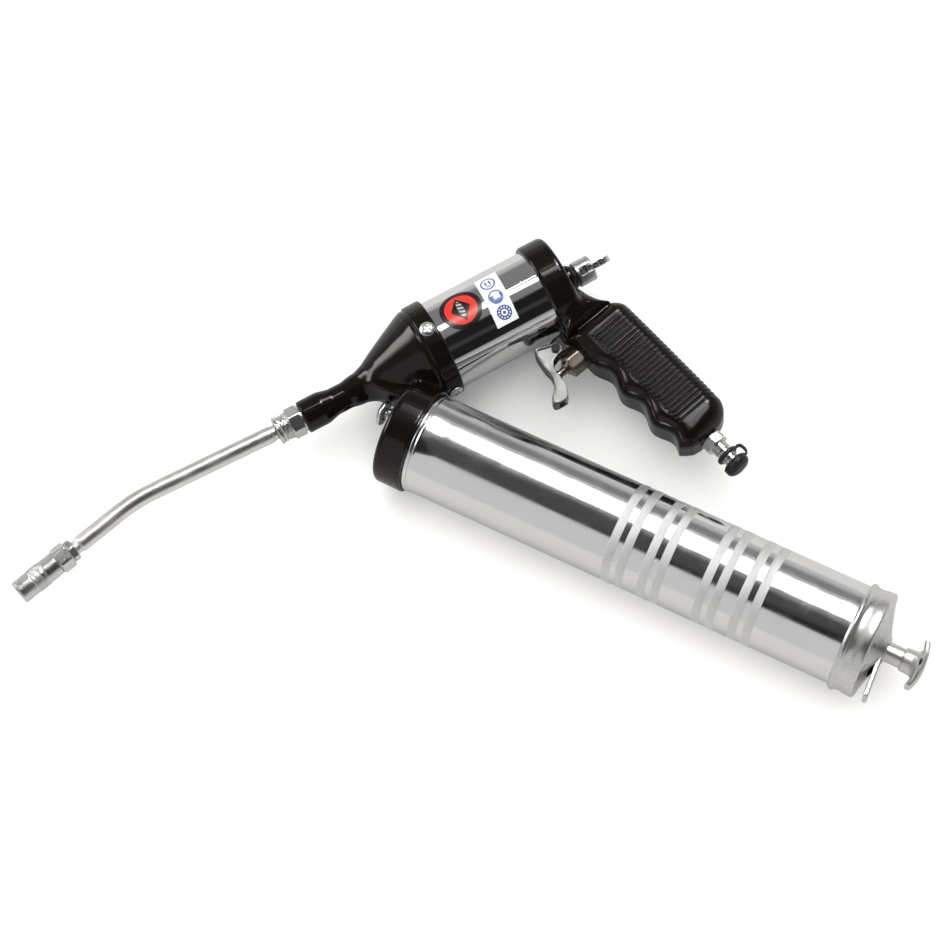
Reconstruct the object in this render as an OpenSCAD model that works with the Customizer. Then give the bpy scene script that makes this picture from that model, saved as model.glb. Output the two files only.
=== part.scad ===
// Air-operated pistol grease gun, lying on its side. Millimetres.
// The gun's middle plane is level. +X runs along the air cylinder towards the hanging eye,
// +Z is up and square to the middle plane, and the barrel and handle reach towards -Y.

/* [Layout] */
// Angle between the air cylinder and the grease barrel, in degrees
barrel_angle = 55.5; // [55:0.5:56]
// Angle between the air cylinder and the handle, in degrees
handle_angle = 77; // [76.5:0.5:77.5]

/* [Air cylinder] */
// Outer diameter of the air cylinder tube
cylinder_od = 52.7; // [52.4:0.1:53]
// Wall of the air cylinder tube
cylinder_wall = 1.85; // [1.7:0.05:2]
// Diameter of the high-pressure plunger
plunger_d = 8; // [7.6:0.1:8.2]

/* [Grease barrel] */
// Outer diameter of the barrel tube
barrel_od = 57; // [56.8:0.1:57.2]
// Wall of the barrel tube
barrel_wall = 1; // [0.8:0.1:1.2]
// Diameter of the follower rod
rod_d = 11.1; // [10.8:0.1:11.1]
// Height of the knurled bands over the tube
band_height = 0.15; // [0.1:0.05:0.3]

/* [Nozzle] */
// Outer diameter of the delivery pipe
pipe_od = 10; // [9.8:0.1:10]
// Deflection of the pipe at its bend, in degrees
pipe_bend = 14.3; // [14:0.1:15]
// Width across the flats of the outlet adapter
adapter_af = 16.5; // [16:0.1:17]

/* [Hidden] */

$fn = 64;
spring_sides = 6;
spring_steps = 14;
fit = 0.05;        // radial gap of pieces that are screwed or pressed together
running = 0.04;    // radial gap of pieces that slide or turn in each other
eps = 0.01;        // how far a cut runs past a face

// Where the two axes cross, seen from the middle of the gun's outline
centre_x = -3.55;
centre_y = 136.32;

// Stations along the air cylinder's axis, from the point where the barrel's axis crosses it
outlet_x = -36.8;       // end of the outlet adapter
hex_x = -28.9;          // nozzle side of the adapter's hexagon
spout_x = -20.2;        // front face of the pump head
rim_x = 57;             // front of the pump head's rim
socket_x = 57.5;        // floor of the socket for the cylinder tube
rim_end_x = 67.8;       // rear face of the rim
cap_x = 131.2;          // front face of the rear cap
tube_end_x = 139.6;     // rear end of the cylinder tube
cap_end_x = 146.8;      // rear face of the rear cap
cavity_end_x = 143.3;   // floor of the hollow inside the rear cap
boss_end_x = 152.5;     // rear face of the hanger's boss
handle_x = 150;         // where the handle's axis starts
screw_x = 62.3;         // the rim screws
rim_r = 28.85;
cylinder_r = cylinder_od / 2;
cylinder_ir = cylinder_r - cylinder_wall;
plunger_r = plunger_d / 2;
gasket_t = 1.2;         // gaskets at both ends of the cylinder tube
gasket_ir = 22;

// Hanging eye behind the rear cap
hanger_turn = 20.9;     // how far the slot is turned round the cylinder's axis, in degrees
hanger_neck_r = 4;
clevis_x = 154.6;
clevis_end_x = 165.7;
clevis_r = 7.6;
eye_slot_half = 2.3;
hanger_pin_x = 162;
hanger_pin_r = 1.5;

// Check valve in the outlet adapter
seat_x = -12;
seat_t = 3;
seat_hole_r = 2.5;
ball_r = 3.5;
ball_x = seat_x - seat_t - sqrt(ball_r * ball_r - seat_hole_r * seat_hole_r) - 0.02;
valve_bore_r = 4.2;
valve_bore_x = -27;

// Packing behind the plunger's chamber
packing_x = 42;
packing_r = 8;
bush_x = 48;
recess_x = 54;
port_r = 3.25;
port_offset = 19.5;     // the grease port's distance from the barrel's axis

// Air piston at rest
piston_x = 127;
piston_t = 10;
nut_t = 5;
plunger_tip_x = 28.5;

// Stations along the barrel's axis, from the same crossing point
collar_x = 39.8;        // front face of the collar
collar_floor_x = 44.5;  // floor of the collar's socket
collar_end_x = 57.1;    // rear face of the collar
collar_r = 30.5;
tube_front_x = 46;
tube_rear_x = 327;
end_cap_x = 316.2;      // front lip of the end cap
end_cap_face_x = 330.6; // rear face of the end cap's rim
end_cap_tip_x = 337.3;  // rear end of the end cap's cone
end_cap_r = 31;
lying_height = end_cap_r;   // the gun lies on its widest ring
web_half = 11;          // half the thickness of the web between cone and collar
web_offset = 14.3;      // the web's front edge, from the barrel's axis
bleeder_offset = 5.9;   // the bleeder's distance from the barrel's axis
bleeder_x = 31.5;       // front of the bleeder's body
bleeder_spring_x = 36;  // floor of its spring's bore
bleeder_thread_r = 3;
bleeder_pin_r = 1.5;
latch_pivot = [334.6, 6.4];
latch_lean = 4.6;       // the latch's tilt at rest, in degrees
latch_t = 2.4;
latch_half = 6.5;
latch_reach = 36.4;
barrel_r = barrel_od / 2;
barrel_ir = barrel_r - barrel_wall;
rod_r = rod_d / 2;
rod_end_x = 350;
band_starts = [180.5, 202, 235, 256.3];
band_w = 5;
band_pitch = 8.3;

// Follower at rest, at the front of the empty barrel
follower_x = 62;
follower_t = 2;

// Handle, in its own frame: u runs down the handle, v towards the rear
grip_top = 30;
grip_bottom = 126.6;
grip_half = 15.5;
grip_front = -27;
finger_first = 50.5;
finger_pitch = 25;
finger_depth = 4.2;
core_half = 9;
core_end = 122;
air_v = -7.5;           // the handle's air bore
valve_u = 40.7;         // the trigger valve's axis
valve_face_v = -27;     // the pad under the valve's hexagon
valve_hex_t = 9.2;
valve_hex_af = 13.2;
valve_thread_r = 6;
valve_end = 5.5;        // the valve's inner end, from the handle's middle
valve_chamber = 7;
stem_head = 16.1;
stem_r = 2.5;
stem_tip_v = -45.15;
air_bore_r = 3.5;
nipple_u = 110;         // top of the inlet nipple's thread
nipple_thread_r = 5;
nipple_hex_end = 132.6;
nipple_r = 4.7;
nipple_tip = 148;
trigger_pivot = [122.7, -36.2];
lug_half = 2.6;
lug_r = 3.6;
neck_half = 15.3;
cheek_t = 1.7;
cheek_gap = 0.3;
trigger_half = lug_half + cheek_gap + cheek_t;
pin_r = 2;

// Delivery pipe and coupler
pipe_r = pipe_od / 2;
pipe_lean = 2;
pipe_first = 76.4;      // straight length up to the bend
pipe_bend_r = 90;
pipe_second = 28.1;     // straight length after the bend
pipe_neck_r = 4.2;
pipe_bore_r = 2;
locknut_s = 31.5;
coupler_s = 35.5;
coupler_cap_s = 43.9;
coupler_tip_s = 70.9;
coupler_r = 7;
mouth_r = 4.2;
mouth_depth = 4.9;

// Small trim on the cylinder tube
trim_t = 0.3;
badge_x = 84.7;
badge_r = 12.2;
badge_turn = 6;
label_x0 = 98;
label_x1 = 111.6;
label_turns = [-36, 38];

// ---- placing ----

module on_gun() {
    translate([centre_x, centre_y, lying_height]) children();
}

module on_hanger() {
    on_gun() rotate([hanger_turn, 0, 0]) children();
}

module on_barrel() {
    on_gun() rotate([0, 0, -barrel_angle]) children();
}

module on_handle() {
    on_gun() translate([handle_x, 0, 0]) rotate([0, 0, -handle_angle]) children();
}

// The pipe's frame: x runs out of the adapter, y bends towards the barrel's side
module on_pipe() {
    on_gun() translate([outlet_x, 0, 0]) rotate([0, 0, 180 - pipe_lean]) children();
}

// The frame past the pipe's bend: x runs towards the nozzle's mouth
module on_nozzle() {
    on_pipe()
        translate([pipe_first + pipe_bend_r * sin(pipe_bend), pipe_bend_r * (1 - cos(pipe_bend)), 0])
            rotate([0, 0, pipe_bend]) children();
}

// ---- shapes ----

// A body of revolution about the x axis, from a list of [x, radius]
module turned(profile) {
    rotate([0, 90, 0]) rotate_extrude() polygon([for (p = profile) [p[1], p[0]]]);
}

module bar(x0, x1, r) {
    translate([x0, 0, 0]) rotate([0, 90, 0]) cylinder(h = x1 - x0, r = r);
}

module ring(x0, x1, outer_r, inner_r) {
    difference() {
        bar(x0, x1, outer_r);
        bar(x0 - 1, x1 + 1, inner_r);
    }
}

module hexagon(x0, x1, across_flats, turn = 0) {
    translate([x0, 0, 0]) rotate([turn, 0, 0]) rotate([0, 90, 0]) rotate([0, 0, 30])
        cylinder(h = x1 - x0, r = across_flats / sqrt(3), $fn = 6);
}

module block(x0, x1, y0, y1, z0, z1) {
    translate([x0, y0, z0]) cube([x1 - x0, y1 - y0, z1 - z0]);
}

module slab(points, half) {
    translate([0, 0, -half]) linear_extrude(height = 2 * half) polygon(points);
}

// A cylinder along z through the point p
module pin_z(p, r, half) {
    translate([p[0], p[1], -half]) cylinder(h = 2 * half, r = r);
}

function arc(cx, cy, r, from, to, steps) =
    [for (i = [0:steps]) let (a = from + (to - from) * i / steps) [cx + r * cos(a), cy + r * sin(a)]];

// A rounded rectangle's outline
function rounded(x0, x1, y0, y1, r) = concat(
    arc(x1 - r, y1 - r, r, 0, 90, 6),
    arc(x0 + r, y1 - r, r, 90, 180, 6),
    arc(x0 + r, y0 + r, r, 180, 270, 6),
    arc(x1 - r, y0 + r, r, 270, 360, 6));

// A coil spring along the x axis
module coil(x0, x1, mean_r, wire_r, turns) {
    n = round(turns * spring_steps);
    pts = [for (i = [0:n]) for (j = [0:spring_sides - 1])
        let (a = 360 * i / spring_steps, b = 360 * j / spring_sides,
             x = wire_r + (x1 - x0 - 2 * wire_r) * i / n, r = mean_r + wire_r * cos(b))
        [r * cos(a), r * sin(a), x + wire_r * sin(b)]];
    sides = [for (i = [0:n - 1]) for (j = [0:spring_sides - 1]) for (k = [0, 1])
        let (a = i * spring_sides + j, b = i * spring_sides + (j + 1) % spring_sides,
             c = b + spring_sides, d = a + spring_sides)
        k == 0 ? [a, b, c] : [a, c, d]];
    ends = [[for (j = [spring_sides - 1:-1:0]) j], [for (j = [0:spring_sides - 1]) n * spring_sides + j]];
    translate([x0, 0, 0]) rotate([0, 90, 0]) polyhedron(points = pts, faces = concat(sides, ends));
}

// ---- pump head ----

head_profile = [
    [spout_x, 0], [spout_x, 8.9], [spout_x + 0.7, 9.6], [-7.6, 9.6], [-0.8, 7.8], [7.7, 7.8],
    [12, 8.8], [17, 9.3], [22.5, 11.3], [28.3, 14.6], [40, 20.6], [52, 26.5], [56, 28.2],
    [56.4, 27.7], [rim_x, 28.5], [rim_x + 0.5, rim_r], [rim_end_x - 0.6, rim_r],
    [rim_end_x, rim_r - 0.6], [rim_end_x, 0]];

collar_profile = [
    [collar_x, 0], [collar_x, collar_r - 2.6], [collar_x + 0.8, collar_r - 0.8],
    [collar_x + 2.6, collar_r], [collar_end_x - 0.6, collar_r], [collar_end_x, collar_r - 0.6],
    [collar_end_x, 0]];

module rim_screw_places() {
    for (turn = [0, 90, 180])
        translate([screw_x, 0, 0]) rotate([turn, 0, 0]) children();
}

module pump_head() {
    port_end = port_offset / tan(barrel_angle);
    color([0.05, 0.05, 0.055]) difference() {
        union() {
            on_gun() turned(head_profile);
            on_barrel() turned(collar_profile);
            on_barrel() block(17, 50, web_offset, 34, -web_half, web_half);
        }
        on_gun() bar(spout_x - 1, seat_x, 6.25 + fit);
        on_gun() bar(seat_x - 1, packing_x + 1, plunger_r + running);
        on_gun() bar(packing_x, recess_x + 1, packing_r);
        on_gun() bar(recess_x, socket_x + 1, 20);
        on_gun() bar(socket_x, rim_end_x + 1, cylinder_r + fit);
        on_barrel() bar(collar_floor_x, collar_end_x + 1, barrel_r + fit);
        on_barrel() translate([0, port_offset, 0]) bar(port_end, collar_floor_x + 1, port_r);
        on_barrel() translate([0, bleeder_offset, 0])
            bar(collar_x - 1, collar_floor_x + 1, bleeder_thread_r + fit);
        on_gun() rim_screw_places() cylinder(h = rim_r + 1, r = 2.1);
    }
}

module head_screws() {
    color([0.75, 0.76, 0.77]) on_gun() rim_screw_places() difference() {
        union() {
            translate([0, 0, cylinder_ir - 0.6]) cylinder(h = rim_r - cylinder_ir + 1, r = 2);
            translate([0, 0, rim_r + eps]) cylinder(h = 1.2, r = 4.4);
            translate([0, 0, rim_r + 1.2]) cylinder(h = 0.9, r1 = 4.4, r2 = 3.1);
        }
        translate([-3, -0.6, rim_r + 1.1]) cube([6, 1.2, 2]);
        translate([-0.6, -3, rim_r + 1.1]) cube([1.2, 6, 2]);
    }
}

module packing_bush() {
    color([0.72, 0.58, 0.3]) on_gun() difference() {
        union() {
            bar(bush_x, recess_x, packing_r - fit);
            hexagon(recess_x, recess_x + 4, 17);
        }
        bar(bush_x - 1, recess_x + 6, plunger_r + running);
    }
}

module plunger_packing() {
    color([0.12, 0.12, 0.12]) on_gun() ring(packing_x, bush_x - fit, packing_r - fit, plunger_r + running);
}

module check_seat() {
    color([0.6, 0.6, 0.62]) on_gun() ring(seat_x - seat_t, seat_x, 6.2, seat_hole_r);
}

module check_ball() {
    color([0.8, 0.8, 0.82]) on_gun() translate([ball_x, 0, 0]) sphere(r = ball_r);
}

module check_spring() {
    color([0.6, 0.6, 0.62]) on_gun() coil(valve_bore_x + fit, ball_x - ball_r - fit, 2.6, 0.35, 4);
}

module outlet_adapter() {
    crest_r = 8.05;
    root_r = 7.2;
    crests = 4;
    pitch = (hex_x - outlet_x) / crests;
    color([0.78, 0.79, 0.79]) on_gun() difference() {
        union() {
            bar(spout_x - 0.1, seat_x - seat_t - fit, 6.25);
            bar(outlet_x, spout_x, root_r);
            for (i = [0:crests - 1])
                bar(outlet_x + i * pitch, outlet_x + i * pitch + pitch * 0.6, crest_r);
            hexagon(hex_x, spout_x - 1.2, adapter_af);
            bar(spout_x - 1.2, spout_x - fit, 7.9);
        }
        bar(valve_bore_x, seat_x, valve_bore_r);
        bar(outlet_x - 1, 0, 2.5);
        bar(outlet_x - 1, outlet_x + 5, pipe_r + fit);
    }
}

// Where a ring of the pipe lies in the pipe's frame: [x, y, heading, outer radius]
function past_bend(s, r) =
    [pipe_first + pipe_bend_r * sin(pipe_bend) + s * cos(pipe_bend),
     pipe_bend_r * (1 - cos(pipe_bend)) + s * sin(pipe_bend), pipe_bend, r];

pipe_rings = concat(
    [[0, 0, 0, pipe_r]],
    [for (i = [0:8]) let (a = pipe_bend * i / 8)
        [pipe_first + pipe_bend_r * sin(a), pipe_bend_r * (1 - cos(a)), a, pipe_r]],
    [past_bend(pipe_second, pipe_r), past_bend(pipe_second + 0.6, pipe_neck_r),
     past_bend(coupler_s + 5, pipe_neck_r)]);

module delivery_pipe() {
    sides = 32;
    last = len(pipe_rings) - 1;
    inner = (last + 1) * sides;
    function ring_points(g, r) = [for (j = [0:sides - 1]) let (b = 360 * j / sides)
        [g[0] - r * cos(b) * sin(g[2]), g[1] + r * cos(b) * cos(g[2]), r * sin(b)]];
    outside = [for (g = pipe_rings) each ring_points(g, g[3])];
    inside = [for (g = pipe_rings) each ring_points(g, pipe_bore_r)];
    walls = [for (i = [0:last - 1]) for (j = [0:sides - 1])
        let (a = i * sides + j, b = i * sides + (j + 1) % sides, c = b + sides, d = a + sides)
        each [[a, c, b], [a, d, c], [inner + a, inner + b, inner + c], [inner + a, inner + c, inner + d]]];
    ends = [for (j = [0:sides - 1])
        let (k = (j + 1) % sides, z = last * sides)
        each [[j, k, inner + k], [j, inner + k, inner + j],
              [z + j, inner + z + k, z + k], [z + j, inner + z + j, inner + z + k]]];
    color([0.8, 0.81, 0.82]) on_pipe()
        polyhedron(points = concat(outside, inside), faces = concat(walls, ends));
}

// ---- coupler ----

module coupler_locknut() {
    color([0.76, 0.77, 0.77]) on_nozzle() difference() {
        turned([[locknut_s, 0], [locknut_s, 6.1], [locknut_s + 0.4, 6.6], [coupler_s - 0.6, 6.6],
                [coupler_s - fit, 6.2], [coupler_s - fit, 0]]);
        bar(locknut_s - 1, coupler_s + 1, pipe_neck_r + fit);
    }
}

module coupler_body() {
    color([0.8, 0.81, 0.8]) on_nozzle() difference() {
        union() {
            hexagon(coupler_s, coupler_cap_s - fit, 14.5, 14);
            bar(coupler_cap_s - 1, 50, 5.3);
        }
        bar(coupler_s - 1, coupler_s + 6, pipe_neck_r + fit);
        bar(coupler_s, 51, 2);
    }
}

module coupler_cap() {
    tip = coupler_tip_s;
    color([0.78, 0.79, 0.8]) on_nozzle() difference() {
        turned([[coupler_cap_s, 0], [coupler_cap_s, coupler_r], [52.9, coupler_r], [53, coupler_r + 0.15],
                [60.8, coupler_r + 0.15], [60.9, coupler_r], [tip - 1, coupler_r],
                [tip, coupler_r - 0.9], [tip, 0]]);
        bar(coupler_cap_s - 1, tip - mouth_depth, 5.3 + running);
        bar(coupler_cap_s, tip + 1, mouth_r);
    }
}

module coupler_jaws() {
    end = coupler_tip_s - mouth_depth - 0.2;
    color([0.55, 0.55, 0.57]) on_nozzle() difference() {
        ring(57.2, end, 5.3, 3.3);
        for (turn = [0, 90])
            rotate([turn, 0, 0]) block(57, end + 1, -6, 6, -0.4, 0.4);
    }
}

module coupler_seal() {
    color([0.1, 0.1, 0.1]) on_nozzle() ring(55.4, 57.15, 5.3, 2);
}

module coupler_spring() {
    color([0.6, 0.6, 0.62]) on_nozzle() coil(50 + fit, 55.4 - fit, 4.2, 0.4, 3);
}

// ---- air bleeder ----

module bleeder_body() {
    color([0.72, 0.75, 0.8]) on_barrel() translate([0, bleeder_offset, 0]) difference() {
        union() {
            bar(bleeder_x, collar_x - fit, 3.8);
            bar(collar_x - 1, collar_floor_x, bleeder_thread_r);
        }
        bar(bleeder_x - 1, bleeder_spring_x, 2.6);
        bar(bleeder_x - 1, collar_floor_x + 1, bleeder_pin_r + running);
    }
}

module bleeder_button() {
    color([0.78, 0.79, 0.8]) on_barrel() translate([0, bleeder_offset, 0]) difference() {
        turned([[25.2, 0], [25.5, 2.5], [26.3, 5], [27.6, 7], [28.6, 7.4], [29.6, 7.2], [29.6, bleeder_pin_r],
                [38, bleeder_pin_r], [38, 0]]);
        ring(28.4, 30, 4.1, 3);
    }
}

module bleeder_spring() {
    color([0.6, 0.6, 0.62]) on_barrel() translate([0, bleeder_offset, 0])
        coil(29.7, bleeder_spring_x - 0.1, 2.15, 0.3, 3);
}

// ---- air motor ----

module air_cylinder() {
    color([0.85, 0.86, 0.88]) on_gun() difference() {
        bar(socket_x + gasket_t, tube_end_x, cylinder_r);
        bar(socket_x, tube_end_x + 1, cylinder_ir);
        rim_screw_places() cylinder(h = cylinder_r + 1, r = 2 + fit);
    }
}

module front_gasket() {
    color([0.12, 0.12, 0.12]) on_gun()
        ring(socket_x + fit, socket_x + gasket_t - fit, cylinder_r, gasket_ir - 0.5);
}

module rear_gasket() {
    color([0.12, 0.12, 0.12]) on_gun()
        ring(tube_end_x + fit, tube_end_x + gasket_t, cylinder_r, gasket_ir + 0.5);
}

module air_piston() {
    groove = piston_x + 3;
    color([0.75, 0.76, 0.78]) on_gun() difference() {
        bar(piston_x, piston_x + piston_t, cylinder_ir - 0.25);
        ring(groove, groove + 4, cylinder_ir + 1, 20.5);
        bar(piston_x - 1, piston_x + piston_t + 1, plunger_r);
        ring(piston_x - 1, piston_x + 2, 19.5, 7);
    }
}

module piston_seal() {
    groove = piston_x + 3;
    color([0.1, 0.1, 0.1]) on_gun() ring(groove + fit, groove + 4 - fit, cylinder_ir - running, 20.5 + fit);
}

module plunger() {
    color([0.82, 0.82, 0.84]) on_gun() union() {
        bar(plunger_tip_x, piston_x - fit, plunger_r);
        bar(piston_x - 3, piston_x - fit, 6.5);
        bar(piston_x - 1, piston_x + piston_t + nut_t + 1, plunger_r - fit);
    }
}

module piston_nut() {
    color([0.65, 0.66, 0.68]) on_gun() difference() {
        hexagon(piston_x + piston_t + fit, piston_x + piston_t + nut_t, 13);
        bar(piston_x, piston_x + piston_t + nut_t + 1, plunger_r);
    }
}

module return_spring() {
    color([0.55, 0.56, 0.58]) on_gun() coil(recess_x + fit, piston_x + 2 - fit, 13.5, 1.1, 8);
}

// ---- handle ----

cap_profile = [
    [cap_x, 0], [cap_x, rim_r - 1], [cap_x + 1, rim_r], [cap_end_x - 2.2, rim_r],
    [cap_end_x - 1.2, rim_r - 0.3], [cap_end_x - 0.5, rim_r - 1], [cap_end_x, rim_r - 2.6],
    [cap_end_x, 8], [boss_end_x - 0.5, 8],
    [boss_end_x, 7.4], [boss_end_x, 0]];

lug_outline = concat(
    [[138, -27.4], [124, -29.2]],
    arc(trigger_pivot[0], trigger_pivot[1], lug_r, 110, 290, 8),
    [[129, -38.5], [138, -40]]);

neck_outline = [[3, -14], [8, -2], [14, -1.4], [20, 0], [25, 2.2], [grip_top, 6.2], [grip_top, grip_front],
                [27, grip_front + 0.3], [22, -22], [14, -18]];

function finger_v(u) =
    grip_front + finger_depth / 2 * (1 - cos(360 * (u - finger_first) / finger_pitch));

grip_outline = concat(
    [[grip_top, 6.2], [33.5, 9.4], [36.5, 10.9], [40, 11.4], [111, 10.6]],
    arc(113, -2.2, 12.8, 78, 8, 5),
    [[grip_bottom, -9], [grip_bottom, -14.5], [125.6, -19.2], [123.2, -22.6]],
    [for (u = [120.5:-2.5:finger_first]) [u, finger_v(u)]],
    [[grip_top, grip_front]]);

module grip_core(gap) {
    block(grip_top - 2, core_end + gap, -20 - gap, 4 + gap, -core_half - gap, core_half + gap);
}

// Block of the handle's neck, from the rear cap down to the grip
module neck_block() {
    on_handle() intersection() {
        slab(neck_outline, neck_half);
        rotate([0, 90, 0]) linear_extrude(height = 2 * grip_top)
            polygon(rounded(-neck_half, neck_half, grip_front - 0.2, 12, 8.8));
    }
}

// Two-sided lug that carries the trigger's pin; it stops short of the grip
module trigger_lug() {
    difference() {
        on_gun() slab(lug_outline, lug_half);
        on_handle() block(grip_top - fit, 2 * grip_top, grip_front - fit, 12, -lug_half - 1, lug_half + 1);
    }
}

module handle_casting() {
    color([0.05, 0.05, 0.055]) difference() {
        union() {
            on_gun() turned(cap_profile);
            neck_block();
            on_handle() grip_core(0);
            trigger_lug();
        }
        on_gun() bar(cap_x - 10, tube_end_x + gasket_t + fit, cylinder_r + fit);
        on_gun() bar(tube_end_x, cavity_end_x, gasket_ir);
        on_gun() bar(148, boss_end_x + 1, hanger_neck_r + fit);
        on_gun() bar(boss_end_x, clevis_x + 4, 9);
        on_gun() pin_z(trigger_pivot, pin_r + running, lug_half + 1);
        on_handle() translate([0, -9, 0]) bar(16, valve_u, 2.6);
        on_handle() translate([0, air_v, 0]) bar(valve_u, core_end + 1, air_bore_r);
        on_handle() translate([0, air_v, 0]) bar(nipple_u - 2, core_end + 1, nipple_thread_r + fit);
        on_valve() bar(5, 35, valve_thread_r + fit);
        on_valve() bar(-valve_face_v - fit, 45, valve_hex_af / sqrt(3) + 0.2);
    }
}

module grip_sleeve() {
    color([0.04, 0.04, 0.045]) difference() {
        on_handle() intersection() {
            slab(grip_outline, 20);
            translate([grip_top, 0, 0]) rotate([0, 90, 0]) linear_extrude(height = 110)
                polygon(rounded(-grip_half, grip_half, grip_front - 0.4, 11.8, 9));
        }
        on_handle() grip_core(0.1);
        on_valve() bar(15, 30, valve_thread_r + 2 * fit);
        on_handle() translate([0, air_v, 0]) bar(core_end - 5, grip_bottom + 2, nipple_thread_r + 0.2);
    }
}

// ---- trigger and valve ----

trigger_front = [[112.2, -30.6], [111.3, -34], [111.3, -38.7], [111.7, -43.8], [112.8, -48.5], [112.5, -52.3],
                 [111.1, -55.9], [109.5, -58.5], [107.6, -60.4], [106.1, -62.2]];
trigger_back = [[105.6, -63.9], [106.1, -65.4], [110.1, -66.1], [113.5, -65.8], [115.3, -63.7],
                [116.6, -60.4], [117.1, -56.5], [116.7, -51.5], [115.9, -48.2], [116.4, -45.4], [118.1, -42]];

module trigger() {
    lobe = arc(trigger_pivot[0], trigger_pivot[1], 3.4, -95, 105, 8);
    cheek = concat(trigger_front, trigger_back, lobe);
    inner = [for (p = trigger_front) [p[0] + 1.9, p[1] + 0.3]];
    web = concat(trigger_front, [trigger_back[0], trigger_back[1]],
                 [for (i = [len(inner) - 1:-1:0]) inner[i]]);
    color([0.62, 0.62, 0.6]) on_gun() difference() {
        union() {
            for (side = [-1, 1])
                translate([0, 0, side * (trigger_half - cheek_t / 2)]) slab(cheek, cheek_t / 2);
            slab(web, trigger_half - eps);
        }
        pin_z(trigger_pivot, pin_r + running, trigger_half + 1);
    }
}

module trigger_pin() {
    color([0.3, 0.3, 0.3]) on_gun() difference() {
        pin_z(trigger_pivot, pin_r, trigger_half + 1.4);
        for (side = [-1, 1])
            translate([0, 0, side * (trigger_half + 0.7) - 0.35]) linear_extrude(height = 0.7)
                difference() {
                    translate(trigger_pivot) circle(r = pin_r + 1);
                    translate(trigger_pivot) circle(r = pin_r - 0.4);
                }
    }
}

module pin_clips() {
    color([0.25, 0.25, 0.26]) on_gun() for (side = [-1, 1])
        translate([trigger_pivot[0], trigger_pivot[1], side * (trigger_half + 0.7) - 0.3])
            linear_extrude(height = 0.6) difference() {
                circle(r = pin_r + 0.6);
                circle(r = pin_r - 0.4 + eps);
                translate([-0.6, 0]) square([1.2, 5]);
            }
}

// The valve's frame: x runs out of the handle's front towards the trigger
module on_valve() {
    on_handle() translate([valve_u, 0, 0]) rotate([0, 0, -90]) children();
}

module valve_body() {
    face = -valve_face_v;
    color([0.6, 0.57, 0.53]) on_valve() difference() {
        union() {
            bar(valve_end, face + 1, valve_thread_r);
            hexagon(face + fit, face + valve_hex_t, valve_hex_af, 14);
            bar(face + valve_hex_t - 1, face + valve_hex_t + 1.8, 4.2);
        }
        bar(valve_chamber, 20, 3.4);
        bar(valve_chamber, face + valve_hex_t + 3, stem_r + running);
        translate([9, 0, 0]) rotate([0, 0, -90]) bar(0, 8, 1.6);
        translate([14, 0, 0]) rotate([0, 0, 90]) bar(0, 8, 1.6);
    }
}

module valve_stem() {
    color([0.62, 0.58, 0.53]) on_valve() union() {
        bar(stem_head, -stem_tip_v - 0.6, stem_r);
        bar(-stem_tip_v - 0.7, -stem_tip_v, stem_r - 0.4);
        bar(stem_head, stem_head + 1.5, stem_r + 0.6);
        bar(12, stem_head + 0.1, 1.2);
    }
}

module valve_spring() {
    color([0.6, 0.6, 0.62]) on_valve() coil(valve_chamber + fit, stem_head - fit, 2.2, 0.35, 5);
}

module valve_seal() {
    color([0.1, 0.1, 0.1]) on_valve() ring(stem_head + 1.55, 19.5, 3.35, stem_r + fit);
}

// ---- air inlet ----

module on_inlet() {
    on_handle() translate([0, air_v, 0]) children();
}

module inlet_nipple() {
    color([0.74, 0.75, 0.76]) on_inlet() difference() {
        union() {
            bar(nipple_u, grip_bottom + 1, nipple_thread_r);
            hexagon(grip_bottom + fit, nipple_hex_end, 13, 15);
            turned([[nipple_hex_end - 0.1, 0], [nipple_hex_end - 0.1, nipple_r], [142.6, nipple_r],
                    [143, 4.2], [nipple_tip - 0.4, 4.2], [nipple_tip, 3.8], [nipple_tip, 0]]);
        }
        bar(nipple_u - 1, nipple_tip + 1, 2.5);
        bar(nipple_u - 1, nipple_u + 8, 3.6);
    }
}

module inlet_filter() {
    color([0.7, 0.6, 0.35]) on_inlet() difference() {
        bar(nipple_u + 0.2, nipple_u + 7.8, 3.5);
        bar(nipple_u - 1, nipple_u + 6, 2.4);
    }
}

module dust_cap() {
    color([0.06, 0.06, 0.06]) on_inlet() difference() {
        turned([[145.2, 0], [145.2, 6.9], [145.7, 7.4], [148.6, 7.4], [150, 6.8], [151.2, 5], [151.6, 2.6],
                [151.6, 0]]);
        bar(144, 148.3, 4.2 + fit);
    }
}

module cap_tether() {
    color([0.06, 0.06, 0.06]) on_inlet() union() {
        ring(139, 141.1, 6.4, nipple_r + fit);
        slab([[139, 5.8], [139, 8.6], [140.5, 10.2], [144.8, 10.2], [146.6, 9.2], [146.6, 7.8], [144.9, 7.8],
              [144.3, 8.6], [141.4, 8.6], [141.1, 8], [141.1, 5.8]], 1.6);
    }
}

// ---- hanging eye ----

module hanger_boss() {
    color([0.1, 0.1, 0.1]) on_gun() ring(boss_end_x + fit, boss_end_x + 1.2, 7, hanger_neck_r + 0.3);
}

module hanger_clevis() {
    color([0.7, 0.71, 0.71]) on_hanger() difference() {
        union() {
            bar(148.5, boss_end_x + 1, hanger_neck_r);
            bar(boss_end_x + fit, clevis_x + 0.4, hanger_neck_r + 0.2);
            turned([[clevis_x, 0], [clevis_x, clevis_r - 0.6], [clevis_x + 0.6, clevis_r],
                    [clevis_end_x - 0.5, clevis_r], [clevis_end_x, clevis_r - 0.6], [clevis_end_x, 0]]);
        }
        block(157, clevis_end_x + 1, -eye_slot_half, eye_slot_half, -9, 9);
        translate([hanger_pin_x, 0, 0]) rotate([90, 0, 0]) translate([0, 0, -9])
            cylinder(h = 18, r = hanger_pin_r + running);
    }
}

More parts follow.
